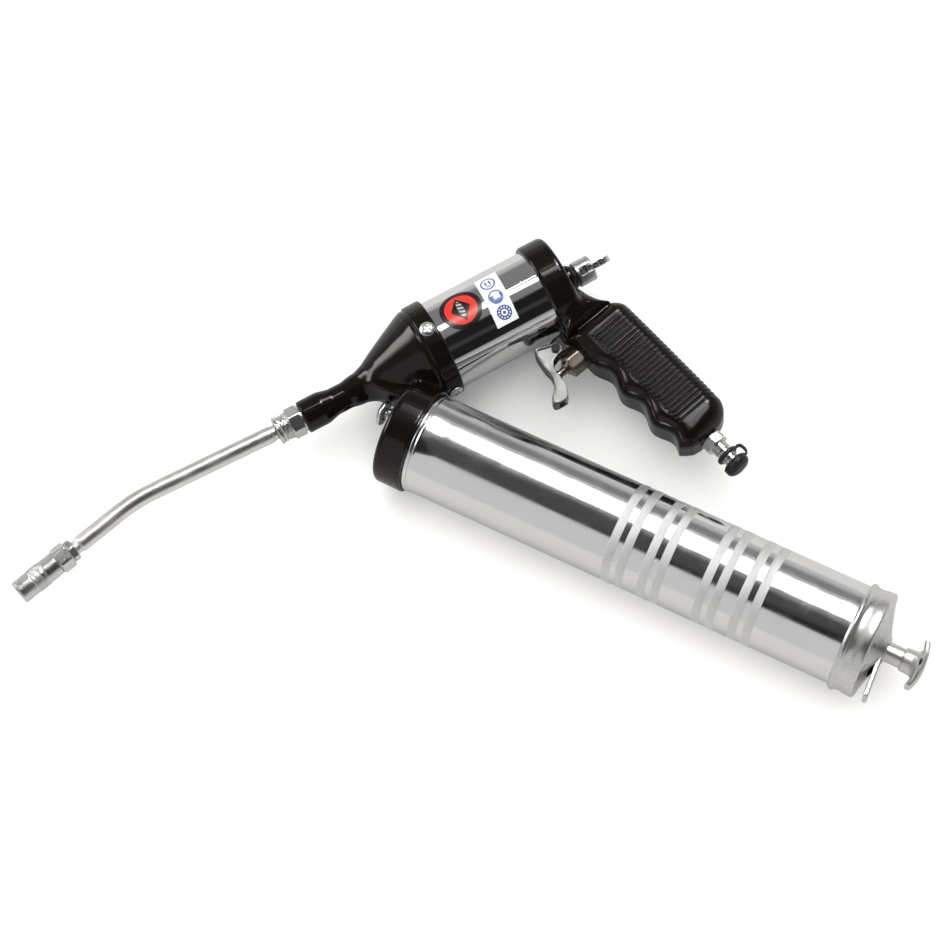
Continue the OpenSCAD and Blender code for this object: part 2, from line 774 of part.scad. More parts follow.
module hanger_pin() {
    color([0.55, 0.55, 0.56]) on_hanger() translate([hanger_pin_x, 0, 0]) rotate([90, 0, 0])
        translate([0, 0, 0.2 - clevis_r]) cylinder(h = 2 * clevis_r - 0.4, r = hanger_pin_r);
}

module hanger_eye() {
    end_x = 171.4;
    head_r = 5.6;
    neck = 4.2;
    color([0.66, 0.67, 0.68]) on_hanger() rotate([90, 0, 0]) translate([0, 0, -1.8])
        difference() {
            union() {
                translate([hanger_pin_x, 0, 0]) cylinder(h = 3.6, r = neck);
                translate([hanger_pin_x, -neck, 0]) cube([end_x - hanger_pin_x, 2 * neck, 3.6]);
                translate([end_x, 0, 0]) cylinder(h = 3.6, r = head_r);
            }
            translate([hanger_pin_x, 0, -1]) cylinder(h = 6, r = hanger_pin_r + running);
            translate([end_x, 0, -1]) cylinder(h = 6, r = 3.2);
        }
}

// ---- grease barrel ----

module barrel_tube() {
    color([0.85, 0.86, 0.88]) on_barrel() difference() {
        union() {
            bar(tube_front_x, tube_rear_x, barrel_r);
            ring(58.2, 59.6, barrel_r + 0.5, barrel_r - 0.5);
            ring(60.4, 61.6, barrel_r + 0.35, barrel_r - 0.5);
            for (start = band_starts)
                for (i = [0, 1])
                    ring(start + i * band_pitch, start + i * band_pitch + band_w,
                         barrel_r + band_height, barrel_r - 0.5);
        }
        bar(tube_front_x - 1, tube_rear_x + 1, barrel_ir);
    }
}

module barrel_gasket() {
    color([0.12, 0.12, 0.12]) on_barrel() ring(collar_floor_x + fit, tube_front_x - fit, barrel_r - 0.1, 25);
}

module end_cap() {
    wall = 1.4;
    cone_r = 26;
    tip_r = 8.3;
    color([0.75, 0.76, 0.76]) on_barrel() difference() {
        turned([[end_cap_x, 0], [end_cap_x, 29.8], [end_cap_x + 0.8, 30.8], [end_cap_x + 1.8, end_cap_r],
                [end_cap_x + 2.8, 30.6], [end_cap_x + 4, 29.8], [end_cap_x + 7, 29.7], [end_cap_x + 10, 30.3],
                [end_cap_face_x - 1, 30.4], [end_cap_face_x, 29.6], [end_cap_face_x, cone_r],
                [end_cap_tip_x - 0.6, tip_r], [end_cap_tip_x, tip_r - 0.8], [end_cap_tip_x, 0]]);
        turned([[end_cap_x - 1, 0], [end_cap_x - 1, barrel_r + fit], [end_cap_face_x - 1.9, barrel_r + fit],
                [end_cap_face_x - 1.9, cone_r - 0.8], [end_cap_tip_x - 1, tip_r - 0.6],
                [end_cap_tip_x - 1, 0]]);
        bar(end_cap_x, end_cap_tip_x + 1, rod_r + running);
        block(end_cap_face_x + 0.4, end_cap_tip_x - 0.9, -13.5, -6, -7.4, 7.4);
        for (tilt = [0, latch_lean / 2, latch_lean])
            on_latch(tilt) latch_body(0.2);
    }
}

module spring_seat() {
    color([0.6, 0.61, 0.62]) on_barrel() ring(tube_rear_x + fit, tube_rear_x + 1.5, 27.8, 8.6);
}

// The latch's frame: its rolled edge is at the origin and the tab reaches down from there
module on_latch(tilt) {
    translate([latch_pivot[0], latch_pivot[1], 0]) rotate([0, 0, tilt]) children();
}

module latch_body(grow) {
    half = latch_t / 2 + grow;
    block(-half, half, -latch_reach - grow, 0, -latch_half - grow, latch_half + grow);
    pin_z([0, 0], half, latch_half + grow);
}

module rod_latch() {
    color([0.72, 0.73, 0.73]) on_barrel() difference() {
        on_latch(latch_lean) latch_body(0);
        on_latch(latch_lean) translate([0, -latch_pivot[1], 0]) bar(-3, 3, rod_r + 0.65);
    }
}

module latch_spring() {
    color([0.6, 0.6, 0.62]) on_barrel() coil(tube_rear_x + 1.6, 333.1, 7, 0.35, 3);
}

module follower_rod() {
    color([0.82, 0.83, 0.84]) on_barrel() union() {
        bar(follower_x + fit, rod_end_x, rod_r);
        bar(52, follower_x + 1, 3.9);
    }
}

// Curved pull handle of the rod, concave towards the barrel
module t_handle() {
    curve_r = 38;
    half_angle = 21;
    thick = 3;
    tip_x = 359;
    outer = arc(tip_x - curve_r, 0, curve_r, -half_angle, half_angle, 12);
    inner = arc(tip_x - curve_r, 0, curve_r - thick, half_angle, -half_angle, 12);
    color([0.78, 0.79, 0.79]) on_barrel() difference() {
        union() {
            slab(concat(outer, inner), 6.5);
            turned([[346.5, 0], [346.5, rod_r + 0.9], [351, rod_r + 1.1], [354, rod_r + 2.6],
                    [355.8, rod_r + 3.6], [355.8, 0]]);
        }
        bar(345, rod_end_x + fit, rod_r + fit);
    }
}

module follower_plate() {
    color([0.6, 0.61, 0.62]) on_barrel() difference() {
        turned([[follower_x, 0], [follower_x, 26.6], [follower_x + 8, 26.6], [follower_x + 8, 25.6],
                [follower_x + follower_t, 25.6], [follower_x + follower_t, 0]]);
        bar(50, follower_x + 10, rod_r + fit);
    }
}

module follower_cup() {
    color([0.1, 0.1, 0.1]) on_barrel() difference() {
        turned([[follower_x - 9, 25], [follower_x - 9, barrel_ir - running],
                [follower_x - fit, barrel_ir - running], [follower_x - fit, 0], [follower_x - 3, 0],
                [follower_x - 3, 24]]);
        bar(50, follower_x + 1, 3.9 + fit);
    }
}

module follower_nut() {
    color([0.65, 0.66, 0.67]) on_barrel() difference() {
        hexagon(follower_x - 8, follower_x - 3 - fit, 13);
        bar(50, follower_x, 3.9 + fit);
    }
}

module follower_spring() {
    color([0.5, 0.51, 0.53]) on_barrel() coil(follower_x + follower_t + fit, tube_rear_x, 22.5, 1.4, 11);
}

// ---- trim on the cylinder tube ----

module tube_skin(height) {
    ring(72, 134, cylinder_r + eps + height, cylinder_r + eps);
}

module badge_disc() {
    color([0.75, 0.16, 0.12]) on_gun() intersection() {
        tube_skin(trim_t);
        translate([badge_x, 0, 0]) rotate([-badge_turn, 0, 0]) cylinder(h = 40, r = badge_r);
    }
}

module info_label() {
    lo = label_turns[0];
    hi = label_turns[1];
    reach = 40;
    color([0.92, 0.92, 0.93]) on_gun() intersection() {
        ring(label_x0, label_x1, cylinder_r + eps + trim_t / 2, cylinder_r + eps);
        rotate([0, -90, 0]) translate([0, 0, -130]) linear_extrude(height = 60)
            polygon([[0, 0], [reach * cos(lo), reach * sin(lo)], [reach * cos(hi), reach * sin(hi)]]);
    }
}

pump_head();
head_screws();
packing_bush();
plunger_packing();
check_seat();
check_ball();
check_spring();
outlet_adapter();
delivery_pipe();
coupler_locknut();
coupler_body();
coupler_cap();
coupler_jaws();
coupler_seal();
coupler_spring();
bleeder_body();
bleeder_button();
bleeder_spring();
air_cylinder();
front_gasket();
air_piston();
piston_seal();
plunger();
piston_nut();
return_spring();
handle_casting();
grip_sleeve();
rear_gasket();
trigger();
trigger_pin();
pin_clips();
valve_body();
valve_stem();
valve_spring();
valve_seal();
inlet_nipple();
inlet_filter();
dust_cap();
cap_tether();
hanger_boss();
hanger_clevis();
hanger_pin();
hanger_eye();
barrel_tube();
barrel_gasket();
end_cap();
spring_seat();
rod_latch();
latch_spring();
follower_rod();
t_handle();
follower_plate();
follower_cup();
follower_nut();
follower_spring();
badge_disc();
info_label();
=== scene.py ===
"""Looks of the air-operated grease gun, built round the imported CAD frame.

Pieces are drawn in millimetres in the gun's own frames and placed in the row frame in metres.
"""
import math

import bpy
import numpy as np
from mathutils import Matrix, Vector


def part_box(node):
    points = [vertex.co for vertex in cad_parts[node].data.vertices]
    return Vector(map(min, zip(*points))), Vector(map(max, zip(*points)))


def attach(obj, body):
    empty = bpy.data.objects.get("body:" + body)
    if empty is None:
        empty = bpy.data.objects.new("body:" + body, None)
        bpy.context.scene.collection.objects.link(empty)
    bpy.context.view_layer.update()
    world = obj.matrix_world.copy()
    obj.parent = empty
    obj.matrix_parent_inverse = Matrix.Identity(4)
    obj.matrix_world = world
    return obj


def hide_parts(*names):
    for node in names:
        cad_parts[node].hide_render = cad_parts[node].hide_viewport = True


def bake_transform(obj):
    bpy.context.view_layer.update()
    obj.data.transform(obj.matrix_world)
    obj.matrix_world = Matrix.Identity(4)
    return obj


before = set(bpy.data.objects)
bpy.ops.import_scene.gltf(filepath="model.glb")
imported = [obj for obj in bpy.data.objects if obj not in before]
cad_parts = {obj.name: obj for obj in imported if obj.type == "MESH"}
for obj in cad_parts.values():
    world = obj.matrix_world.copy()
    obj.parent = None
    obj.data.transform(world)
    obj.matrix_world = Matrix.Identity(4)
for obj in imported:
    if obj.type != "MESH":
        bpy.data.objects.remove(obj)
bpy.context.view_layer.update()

MM = 0.001
COARSE = 1.0

# ---------------------------------------------------------------- frames

tube_low, tube_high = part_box("air_cylinder")
TUBE_FRONT = 58.7
GUN = Matrix.Translation((
    tube_low.x / MM - TUBE_FRONT,
    (tube_low.y + tube_high.y) / 2 / MM,
    (tube_low.z + tube_high.z) / 2 / MM))


def turn(degrees):
    return Matrix.Rotation(math.radians(degrees), 4, "Z")


BARREL_ANGLE = 55.5
HANDLE_ANGLE = 77
HANDLE_X = 150
OUTLET_X = -36.8
PIPE_FIRST, PIPE_SECOND, PIPE_BEND_R, PIPE_BEND = 76.4, 28.1, 90, 14.3
# u and v run along and across the handle, d and n along and across the barrel
VALVE_U = 40.7
PIPE_TURN, HANGER_TURN = 178, 20.9
INLET_V, BLEEDER_N = -7.5, 5.9
BARREL = GUN @ turn(-BARREL_ANGLE)
HANDLE = GUN @ Matrix.Translation((HANDLE_X, 0, 0)) @ turn(-HANDLE_ANGLE)
PIPE = GUN @ Matrix.Translation((OUTLET_X, 0, 0)) @ turn(PIPE_TURN)
NOZZLE = PIPE @ Matrix.Translation((
    PIPE_FIRST + PIPE_BEND_R * math.sin(math.radians(PIPE_BEND)),
    PIPE_BEND_R * (1 - math.cos(math.radians(PIPE_BEND))), 0)) @ turn(PIPE_BEND)
VALVE = HANDLE @ Matrix.Translation((VALVE_U, 0, 0)) @ turn(-90)
HANGER = GUN @ Matrix.Rotation(math.radians(HANGER_TURN), 4, "X")
INLET = HANDLE @ Matrix.Translation((0, INLET_V, 0))
BLEEDER = BARREL @ Matrix.Translation((0, BLEEDER_N, 0))


def seen_from(local, x, y):
    """Points x, y of the gun's frame in another frame of the middle plane."""
    m = np.array(local.inverted() @ GUN)
    return m[0, 0] * x + m[0, 1] * y + m[0, 3], m[1, 0] * x + m[1, 1] * y + m[1, 3]


# ---------------------------------------------------------------- node graphs

class Num:
    """A number in a node graph; arithmetic on it adds Math nodes."""

    def __init__(self, tree, socket):
        self.tree, self.socket = tree, socket

    def op(self, kind, other=None):
        n = self.tree.nodes.new("ShaderNodeMath")
        n.operation = kind
        for i, v in enumerate([self] if other is None else [self, other]):
            if isinstance(v, Num):
                self.tree.links.new(v.socket, n.inputs[i])
            else:
                n.inputs[i].default_value = v
        return Num(self.tree, n.outputs[0])

    def __add__(self, o): return self.op("ADD", o)
    def __sub__(self, o): return self.op("SUBTRACT", o)
    def __mul__(self, o): return self.op("MULTIPLY", o)
    def __truediv__(self, o): return self.op("DIVIDE", o)
    def high(self, o): return self.op("MAXIMUM", o)
    def size(self): return self.op("ABSOLUTE")

    def step(self, a, b):
        """0 below a, 1 above b, smooth between."""
        n = self.tree.nodes.new("ShaderNodeMapRange")
        n.interpolation_type = "SMOOTHSTEP"
        self.tree.links.new(self.socket, n.inputs["Value"])
        n.inputs["From Min"].default_value, n.inputs["From Max"].default_value = a, b
        return Num(self.tree, n.outputs["Result"])

    def ramp(self, a, b):
        """a where the number is 0, b where it is 1."""
        n = self.tree.nodes.new("ShaderNodeMapRange")
        self.tree.links.new(self.socket, n.inputs["Value"])
        n.inputs["To Min"].default_value, n.inputs["To Max"].default_value = a, b
        return Num(self.tree, n.outputs["Result"])

    def toward(self, value, share):
        """This number, moved to value where share is 1."""
        return self * (share * -1.0 + 1.0) + share * value


def colour_mix(tree, share, a, b):
    n = tree.nodes.new("ShaderNodeMix")
    n.data_type = "RGBA"
    tree.links.new(share.socket, n.inputs["Factor"])
    for i, c in ((6, a), (7, b)):
        if isinstance(c, bpy.types.NodeSocket):
            tree.links.new(c, n.inputs[i])
        else:
            n.inputs[i].default_value = (*c, 1)
    return n.outputs[2]


class Paint:
    """One Principled material and the helpers that fill its sockets."""

    def __init__(self, name, metallic=0.0, coat=0.0, specular=0.5):
        self.mat = bpy.data.materials.new(name)
        self.mat.use_nodes = True
        self.tree = self.mat.node_tree
        self.bsdf = self.tree.nodes["Principled BSDF"]
        self.bsdf.inputs["Metallic"].default_value = metallic
        self.bsdf.inputs["Coat Weight"].default_value = coat
        self.bsdf.inputs["Coat Roughness"].default_value = 0.06
        self.bsdf.inputs["Specular IOR Level"].default_value = specular
        self.coords = self.tree.nodes.new("ShaderNodeTexCoord")
        self.heights = []

    def noise(self, scale, detail=3.0, roughness=0.55, where=None, warp=0.0):
        n = self.tree.nodes.new("ShaderNodeTexNoise")
        n.inputs["Scale"].default_value = scale
        n.inputs["Detail"].default_value = detail
        n.inputs["Roughness"].default_value = roughness
        n.inputs["Distortion"].default_value = warp
        self.tree.links.new(where or self.coords.outputs["Object"], n.inputs["Vector"])
        return Num(self.tree, n.outputs["Fac"])

    def flat(self):
        """The piece's own flat coordinates, in millimetres."""
        n = self.tree.nodes.new("ShaderNodeUVMap")
        n.uv_map = "flat"
        s = self.tree.nodes.new("ShaderNodeSeparateXYZ")
        self.tree.links.new(n.outputs["UV"], s.inputs[0])
        return Num(self.tree, s.outputs[0]), Num(self.tree, s.outputs[1]), n.outputs["UV"]

    def edges(self):
        n = self.tree.nodes.new("ShaderNodeNewGeometry")
        return Num(self.tree, n.outputs["Pointiness"])

    def colour(self, socket):
        self.tree.links.new(socket, self.bsdf.inputs["Base Color"])

    def rough(self, number):
        self.tree.links.new(number.socket, self.bsdf.inputs["Roughness"])

    def bump(self, number, depth_mm, strength=1.0):
        n = self.tree.nodes.new("ShaderNodeBump")
        n.inputs["Distance"].default_value = depth_mm * MM
        n.inputs["Strength"].default_value = strength
        self.tree.links.new(number.socket, n.inputs["Height"])
        if self.heights:
            self.tree.links.new(self.heights[-1], n.inputs["Normal"])
        self.heights.append(n.outputs["Normal"])
        self.tree.links.new(n.outputs["Normal"], self.bsdf.inputs["Normal"])


def shade(c, k):
    """A colour made k times as bright."""
    return tuple(min(1.0, v * k) for v in c)


def metal(name, colour, rough, spread=0.05, grain=900, depth=0.004, smudge=0.5, lines=0.0):
    """Plated or turned metal: cloudy colour, smudged roughness, faint grain or turning lines."""
    p = Paint(name, metallic=1.0)
    cloud = p.noise(45, 4)
    p.colour(colour_mix(p.tree, cloud, shade(colour, 1 - spread), shade(colour, 1 + spread)))
    smear = p.noise(70, 5, 0.6, warp=smudge)
    fine = p.noise(700, 2)
    p.rough((smear.step(0.35, 0.75) * (rough * 0.55) + rough * 0.75 + fine * (rough * 0.15)))
    p.bump(p.noise(grain, 2), depth)
    if lines:
        uv = p.flat()[2]
        stretched = p.tree.nodes.new("ShaderNodeMapping")
        stretched.inputs["Scale"].default_value = (0.02, 5.0, 1)
        p.tree.links.new(uv, stretched.inputs["Vector"])
        p.bump(p.noise(1.0, 3, where=stretched.outputs["Vector"]), lines)
    return p.mat


def enamel(name, colour, rough, peel, depth, specular, wear=0.0):
    """Black paint, moulding or rubber: cloudy colour, uneven gloss, orange peel and paler worn edges."""
    p = Paint(name, specular=specular)
    cloud = p.noise(60, 5)
    base = colour_mix(p.tree, cloud, shade(colour, 0.75), shade(colour, 1.5))
    if wear:
        worn = p.edges().step(0.53, 0.62) * p.noise(400, 4).step(0.4, 0.7) * wear
        base = colour_mix(p.tree, worn, base, (0.06, 0.055, 0.05))
    p.colour(base)
    p.rough(p.noise(120, 5, 0.65).ramp(rough * 0.6, rough * 1.5))
    p.bump(p.noise(peel, 2), depth)
    return p.mat


# ---------------------------------------------------------------- meshes

def piece(name, points, faces, place, mat, body, replaces=(), sharp=None, flat=None):
    """A mesh in a millimetre frame becomes a piece in the row frame that rides on a body."""
    m = np.array(place)
    co = (np.asarray(points) @ m[:3, :3].T + m[:3, 3]) * MM
    mesh = bpy.data.meshes.new(name)
    mesh.from_pydata(co.tolist(), [], faces)
    mesh.update()
    if flat is not None:
        layer = mesh.uv_layers.new(name="flat")
        layer.data.foreach_set("uv", np.asarray(flat, np.float32).ravel())
    mesh.shade_smooth()
    if sharp:
        mesh.set_sharp_from_angle(angle=math.radians(sharp))
    obj = bpy.data.objects.new(name, mesh)
    bpy.context.scene.collection.objects.link(obj)
    mesh.materials.append(mat)
    if isinstance(body, str):
        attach(obj, body)
    if replaces:
        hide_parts(*([replaces] if isinstance(replaces, str) else replaces))
    return obj


def soften(outline, radius, steps=3, closed=False):
    """The outline with its corners rounded."""
    pts = [np.array(p, float) for p in outline]
    out = []
    last = len(pts) - 1
    for i, p in enumerate(pts):
        if not closed and i in (0, last):
            out.append(p)
            continue
        a, b = pts[i - 1], pts[(i + 1) % len(pts)]
        la, lb = np.linalg.norm(a - p), np.linalg.norm(b - p)
        cut = min(radius, la * 0.45, lb * 0.45)
        pa, pb = p + (a - p) * cut / la, p + (b - p) * cut / lb
        for k in range(steps + 1):
            t = k / steps
            out.append(pa * (1 - t) ** 2 + p * 2 * t * (1 - t) + pb * t * t)
    return [tuple(p) for p in out]


def refine(outline, spacing, closed=False):
    """The outline with points added so that none are further apart than spacing."""
    out = []
    ends = outline[1:] + outline[:1] if closed else outline[1:]
    for a, b in zip(outline, ends):
        n = max(1, math.ceil(math.hypot(b[0] - a[0], b[1] - a[1]) / spacing))
        out += [(a[0] + (b[0] - a[0]) * k / n, a[1] + (b[1] - a[1]) * k / n) for k in range(n)]
    return out if closed else out + [outline[-1]]


def turned(outline, sides, shape=None, closed=False, path=None):
    """Points, faces and flat coordinates of an outline of (x, radius) turned about x.

    shape(angle, x, radius) changes the radius; path(x) gives a bent axis as (x, y, heading)."""
    rows = np.array(outline, float)
    angle = np.arange(sides) * 2 * math.pi / sides
    x = np.repeat(rows[:, 0], sides).reshape(-1, sides)
    r = np.repeat(rows[:, 1], sides).reshape(-1, sides)
    if shape:
        r = np.where(r > 1e-6, shape(np.broadcast_to(angle, r.shape), x, r), r)
    side, up = r * np.cos(angle), r * np.sin(angle)
    if path:
        px, py, heading = (np.array(v)[:, None] for v in zip(*[path(v) for v in rows[:, 0]]))
        points = np.stack([px - side * np.sin(heading), py + side * np.cos(heading), up], -1)
    else:
        points = np.stack([x, side, up], -1)
    points = points.reshape(-1, 3)
    run = np.concatenate([[0], np.cumsum(np.hypot(*np.diff(rows, axis=0).T))])
    around = max(rows[:, 1]) * 2 * math.pi
    faces, flat = [], []
    count = len(rows)
    for i in range(count if closed else count - 1):
        n = (i + 1) % count
        pole_a, pole_b = rows[i, 1] < 1e-6, rows[n, 1] < 1e-6
        if pole_a and pole_b:
            continue
        top = run[i] + math.dist(rows[i], rows[n])
        for j in range(sides):
            k = (j + 1) % sides
            corners = [(i * sides + j, j, run[i]), (i * sides + k, j + 1, run[i]),
                       (n * sides + k, j + 1, top), (n * sides + j, j, top)]
            if pole_a:
                corners = [(i * sides, j, run[i])] + corners[2:]
            elif pole_b:
                corners = corners[:2] + [(n * sides, j, top)]
            faces.append([c[0] for c in corners])
            flat += [(c[1] * around / sides, c[2]) for c in corners]
    used = np.unique(np.concatenate([np.array(f) for f in faces]))
    renumber = np.zeros(len(points), int)
    renumber[used] = np.arange(len(used))
    faces = [[int(renumber[v]) for v in f] for f in faces]
    area = sum(np.roll(rows[:, 0], -1) * rows[:, 1] - rows[:, 0] * np.roll(rows[:, 1], -1))
    if area < 0:
        faces = [f[::-1] for f in faces]
        order, start = [], 0
        for f in faces:
            order += list(range(start + len(f) - 1, start - 1, -1))
            start += len(f)
        flat = [flat[i] for i in order]
    return points[used], faces, flat


def lathe(name, outline, place, mat, body, replaces=(), sides=72, shape=None, round_mm=0.0,
          spacing=None, closed=False, sharp=32, path=None):
    """A piece turned from an outline, with its corners rounded by round_mm."""
    if round_mm:
        outline = soften(outline, round_mm, closed=closed)
    if spacing:
        outline = refine(outline, spacing, closed)
    points, faces, flat = turned(outline, sides, shape, closed, path)
    return piece(name, points, faces, place, mat, body, replaces, sharp, flat)


def hexagon(across_flats, turned_by=0.0, ease=0.35):
    """A shape that trims a round outline to a hexagon with slightly eased corners."""
    def shape(angle, x, r):
        a = (angle - math.radians(turned_by)) % (math.pi / 3) - math.pi / 6
        flat = across_flats / 2 / np.cos(a)
        return np.minimum(r, np.minimum(flat, across_flats / math.sqrt(3) - ease))
    return shape


def thread(start, end, pitch, depth):
    """A shape that cuts a thread between two stations."""
    def shape(angle, x, r):
        wave = np.abs(((x / pitch - angle / (2 * math.pi)) % 1) * 2 - 1)
        fade = np.clip((x - start) / pitch, 0, 1) * np.clip((end - x) / pitch, 0, 1)
        return r - depth * fade * np.clip(wave * 1.5 - 0.25, 0, 1)
    return shape


def knurl(bands, lines, depth):
    """A shape that raises crossed diamonds on bands of (start, end)."""
    def shape(angle, x, r):
        out = r.copy()
        for a, b in bands:
            on = np.clip(np.minimum(x - a, b - x) / 0.25, 0, 1) * (r > 3)
            k = lines / r
            cross = np.abs(np.sin((angle * lines + x * k) / 2)) * np.abs(np.sin((angle * lines - x * k) / 2))
            out += depth * on * cross
        return out
    return shape


# ---------------------------------------------------------------- fields

def length(*parts):
    return np.sqrt(sum(p * p for p in parts))


def outline_field(x, y, outline):
    """Signed distance to a closed outline, negative inside."""
    best = np.full(x.shape, 1e18)
    within = np.zeros(x.shape, bool)
    for (ax, ay), (bx, by) in zip(outline, outline[1:] + outline[:1]):
        ex, ey = bx - ax, by - ay
        if ex * ex + ey * ey < 1e-12:
            continue
        wx, wy = x - ax, y - ay
        t = np.clip((wx * ex + wy * ey) / (ex * ex + ey * ey), 0, 1)
        best = np.minimum(best, (wx - ex * t) ** 2 + (wy - ey * t) ** 2)
        if ay != by:
            within ^= ((ay > y) != (by > y)) & (x < ex * (y - ay) / ey + ax)
    return np.where(within, -1, 1) * np.sqrt(best)


def turned_field(x, y, z, outline):
    """Distance to an outline of (x, radius), closed along the axis, turned about x."""
    return outline_field(x, length(y, z), [(outline[0][0], -1)] + list(outline) + [(outline[-1][0], -1)])


def bar_field(x, y, z, x0, x1, r):
    """A round bar along x."""
    return meet(length(y, z) - r, np.maximum(x0 - x, x - x1), 0.0)


def box_field(x, y, z, low, high, r=0.0):
    d = [np.maximum(a - c, c - b) + r for c, a, b in zip((x, y, z), low, high)]
    outside = length(*[np.maximum(v, 0) for v in d])
    return outside + np.minimum(np.maximum(np.maximum(d[0], d[1]), d[2]), 0) - r


def meet(a, b, r):
    """Intersection with a rounded edge."""
    return np.minimum(np.maximum(a, b), -r) + length(np.maximum(a + r, 0), np.maximum(b + r, 0))


def melt(a, b, k):
    """Union with a fillet of about k."""
    h = np.clip(0.5 + 0.5 * (b - a) / k, 0, 1)
    return b + (a - b) * h - k * h * (1 - h)


def carve(a, b, k=0.25):
    """a with b taken away, and the edge eased."""
    return -melt(-a, b, k)


def net(field, low, high, step):
    """Closed quad mesh of field = 0: points spread evenly and pulled exactly onto the surface."""
    step *= COARSE
    axes = [np.arange(a - step, b + 2 * step, step) for a, b in zip(low, high)]
    grid = np.meshgrid(*axes, indexing="ij")
    flat = [g.ravel() for g in grid]
    value = np.concatenate([field(*[c[s:s + 400000] for c in flat])
                            for s in range(0, len(flat[0]), 400000)]).reshape(grid[0].shape)
    solid = value < 0
    total = np.zeros([n - 1 for n in solid.shape], int)
    for i in (0, 1):
        for j in (0, 1):
            for k in (0, 1):
                total += solid[i:i + total.shape[0], j:j + total.shape[1], k:k + total.shape[2]]
    active = (total > 0) & (total < 8)
    index = np.full(total.shape, -1)
    index[active] = np.arange(active.sum())
    cell = np.argwhere(active)
    v = np.stack([a[0] + (c + 0.5) * step for a, c in zip(axes, cell.T)], -1)
    quads = []
    for axis in range(3):
        a = np.moveaxis(solid, axis, 0)
        ids = np.moveaxis(index, axis, 0)
        change = a[:-1, 1:-1, 1:-1] != a[1:, 1:-1, 1:-1]
        i, j, k = np.nonzero(change)
        q = np.stack([ids[i, j, k], ids[i, j + 1, k], ids[i, j + 1, k + 1], ids[i, j, k + 1]], -1)
        out = a[i, j + 1, k + 1]
        flip = out if axis != 1 else ~out
        q[~flip] = q[~flip][:, ::-1]
        quads.append(q)
    quads = np.concatenate(quads)

    def pull(v, rounds):
        h = 0.02
        for _ in range(rounds):
            f = field(*v.T)
            g = np.stack([field(*(v + e).T) - field(*(v - e).T) for e in np.eye(3) * h], -1) / (2 * h)
            move = f[:, None] * g / np.maximum((g * g).sum(1), 0.05)[:, None]
            far = np.linalg.norm(move, axis=1, keepdims=True)
            v = v - move * np.minimum(1, 0.6 * step / np.maximum(far, 1e-9))
        return v

    v = pull(v, 3)
    for _ in range(3):
        total_v, count = np.zeros_like(v), np.zeros(len(v))
        for a in range(4):
            b = (a + 1) % 4
            for p, n in ((a, b), (b, a)):
                np.add.at(total_v, quads[:, p], v[quads[:, n]])
                np.add.at(count, quads[:, p], 1)
        v = pull(v * 0.4 + 0.6 * total_v / count[:, None], 2)
    return v, quads.tolist()


def cast(name, field, low, high, step, place, mat, body, replaces=()):
    """A piece with the surface of a field."""
    v, q = net(field, low, high, step)
    return piece(name, v, q, place, mat, body, replaces)


# ---------------------------------------------------------------- materials

CHROME = metal("bright chrome", (0.80, 0.805, 0.82), 0.06, spread=0.02, depth=0.0006, lines=0.0008)
BRUSHED = metal("barrel chrome", (0.80, 0.80, 0.81), 0.14, spread=0.03, depth=0.0008, smudge=0.4,
                lines=0.0012)
PLATE = metal("nickel plate", (0.68, 0.68, 0.675), 0.3, spread=0.05, depth=0.003)
PIPE_PLATE = metal("pipe plate", (0.84, 0.83, 0.81), 0.38, spread=0.03, depth=0.002, smudge=0.35, lines=0.002)
WARM = metal("warm nickel", (0.29, 0.25, 0.215), 0.26, spread=0.1, depth=0.003)
COOL = metal("cool nickel", (0.55, 0.62, 0.70), 0.24, spread=0.08, depth=0.003)
ZINC = metal("die-cast zinc", (0.21, 0.21, 0.205), 0.5, spread=0.1, grain=1600, depth=0.012)
SATIN = metal("satin plate", (0.72, 0.715, 0.70), 0.42, spread=0.04, depth=0.002)
STEEL = metal("plain steel", (0.45, 0.45, 0.46), 0.3, spread=0.1)
DARK = metal("dark steel", (0.014, 0.014, 0.014), 0.35, spread=0.15)
WIRE = metal("spring wire", (0.4, 0.4, 0.42), 0.28, spread=0.12)
ALLOY = metal("turned alloy", (0.66, 0.67, 0.68), 0.24)
BRASS = metal("brass", (0.66, 0.48, 0.2), 0.26, spread=0.12)
ENAMEL = enamel("black enamel", (0.0036, 0.0026, 0.0023), 0.1, 420, 0.004, wear=0.12, specular=0.3)
GRIP = enamel("grip moulding", (0.0036, 0.0025, 0.0022), 0.17, 1500, 0.004, wear=0.08, specular=0.32)
RUBBER = enamel("black rubber", (0.009, 0.009, 0.009), 0.42, 2200, 0.015, specular=0.35)


def band_material():
    """Knurled band: dull bright ridges, with painted shade darkening the valleys."""
    p = Paint("knurled band", metallic=1.0)
    x, y = p.flat()[:2]
    pitch = 1.05
    ridge = ((x + y) * (math.pi / pitch)).op("SINE").size() * ((x - y) * (math.pi / pitch)).op("SINE").size()
    # painted shade: the valleys between the ridges are coloured darker than the ridges
    p.colour(colour_mix(p.tree, ridge.step(0.1, 0.6), (0.62, 0.62, 0.63), (0.97, 0.97, 0.97)))
    p.rough(ridge.ramp(0.52, 0.4) + p.noise(300, 3) * 0.08)
    p.bump(ridge, 0.12)
    return p.mat


def inside(number, edge, soft=0.12):
    """1 where the number is below edge, 0 above."""
    return number.step(edge - soft, edge + soft) * -1.0 + 1.0


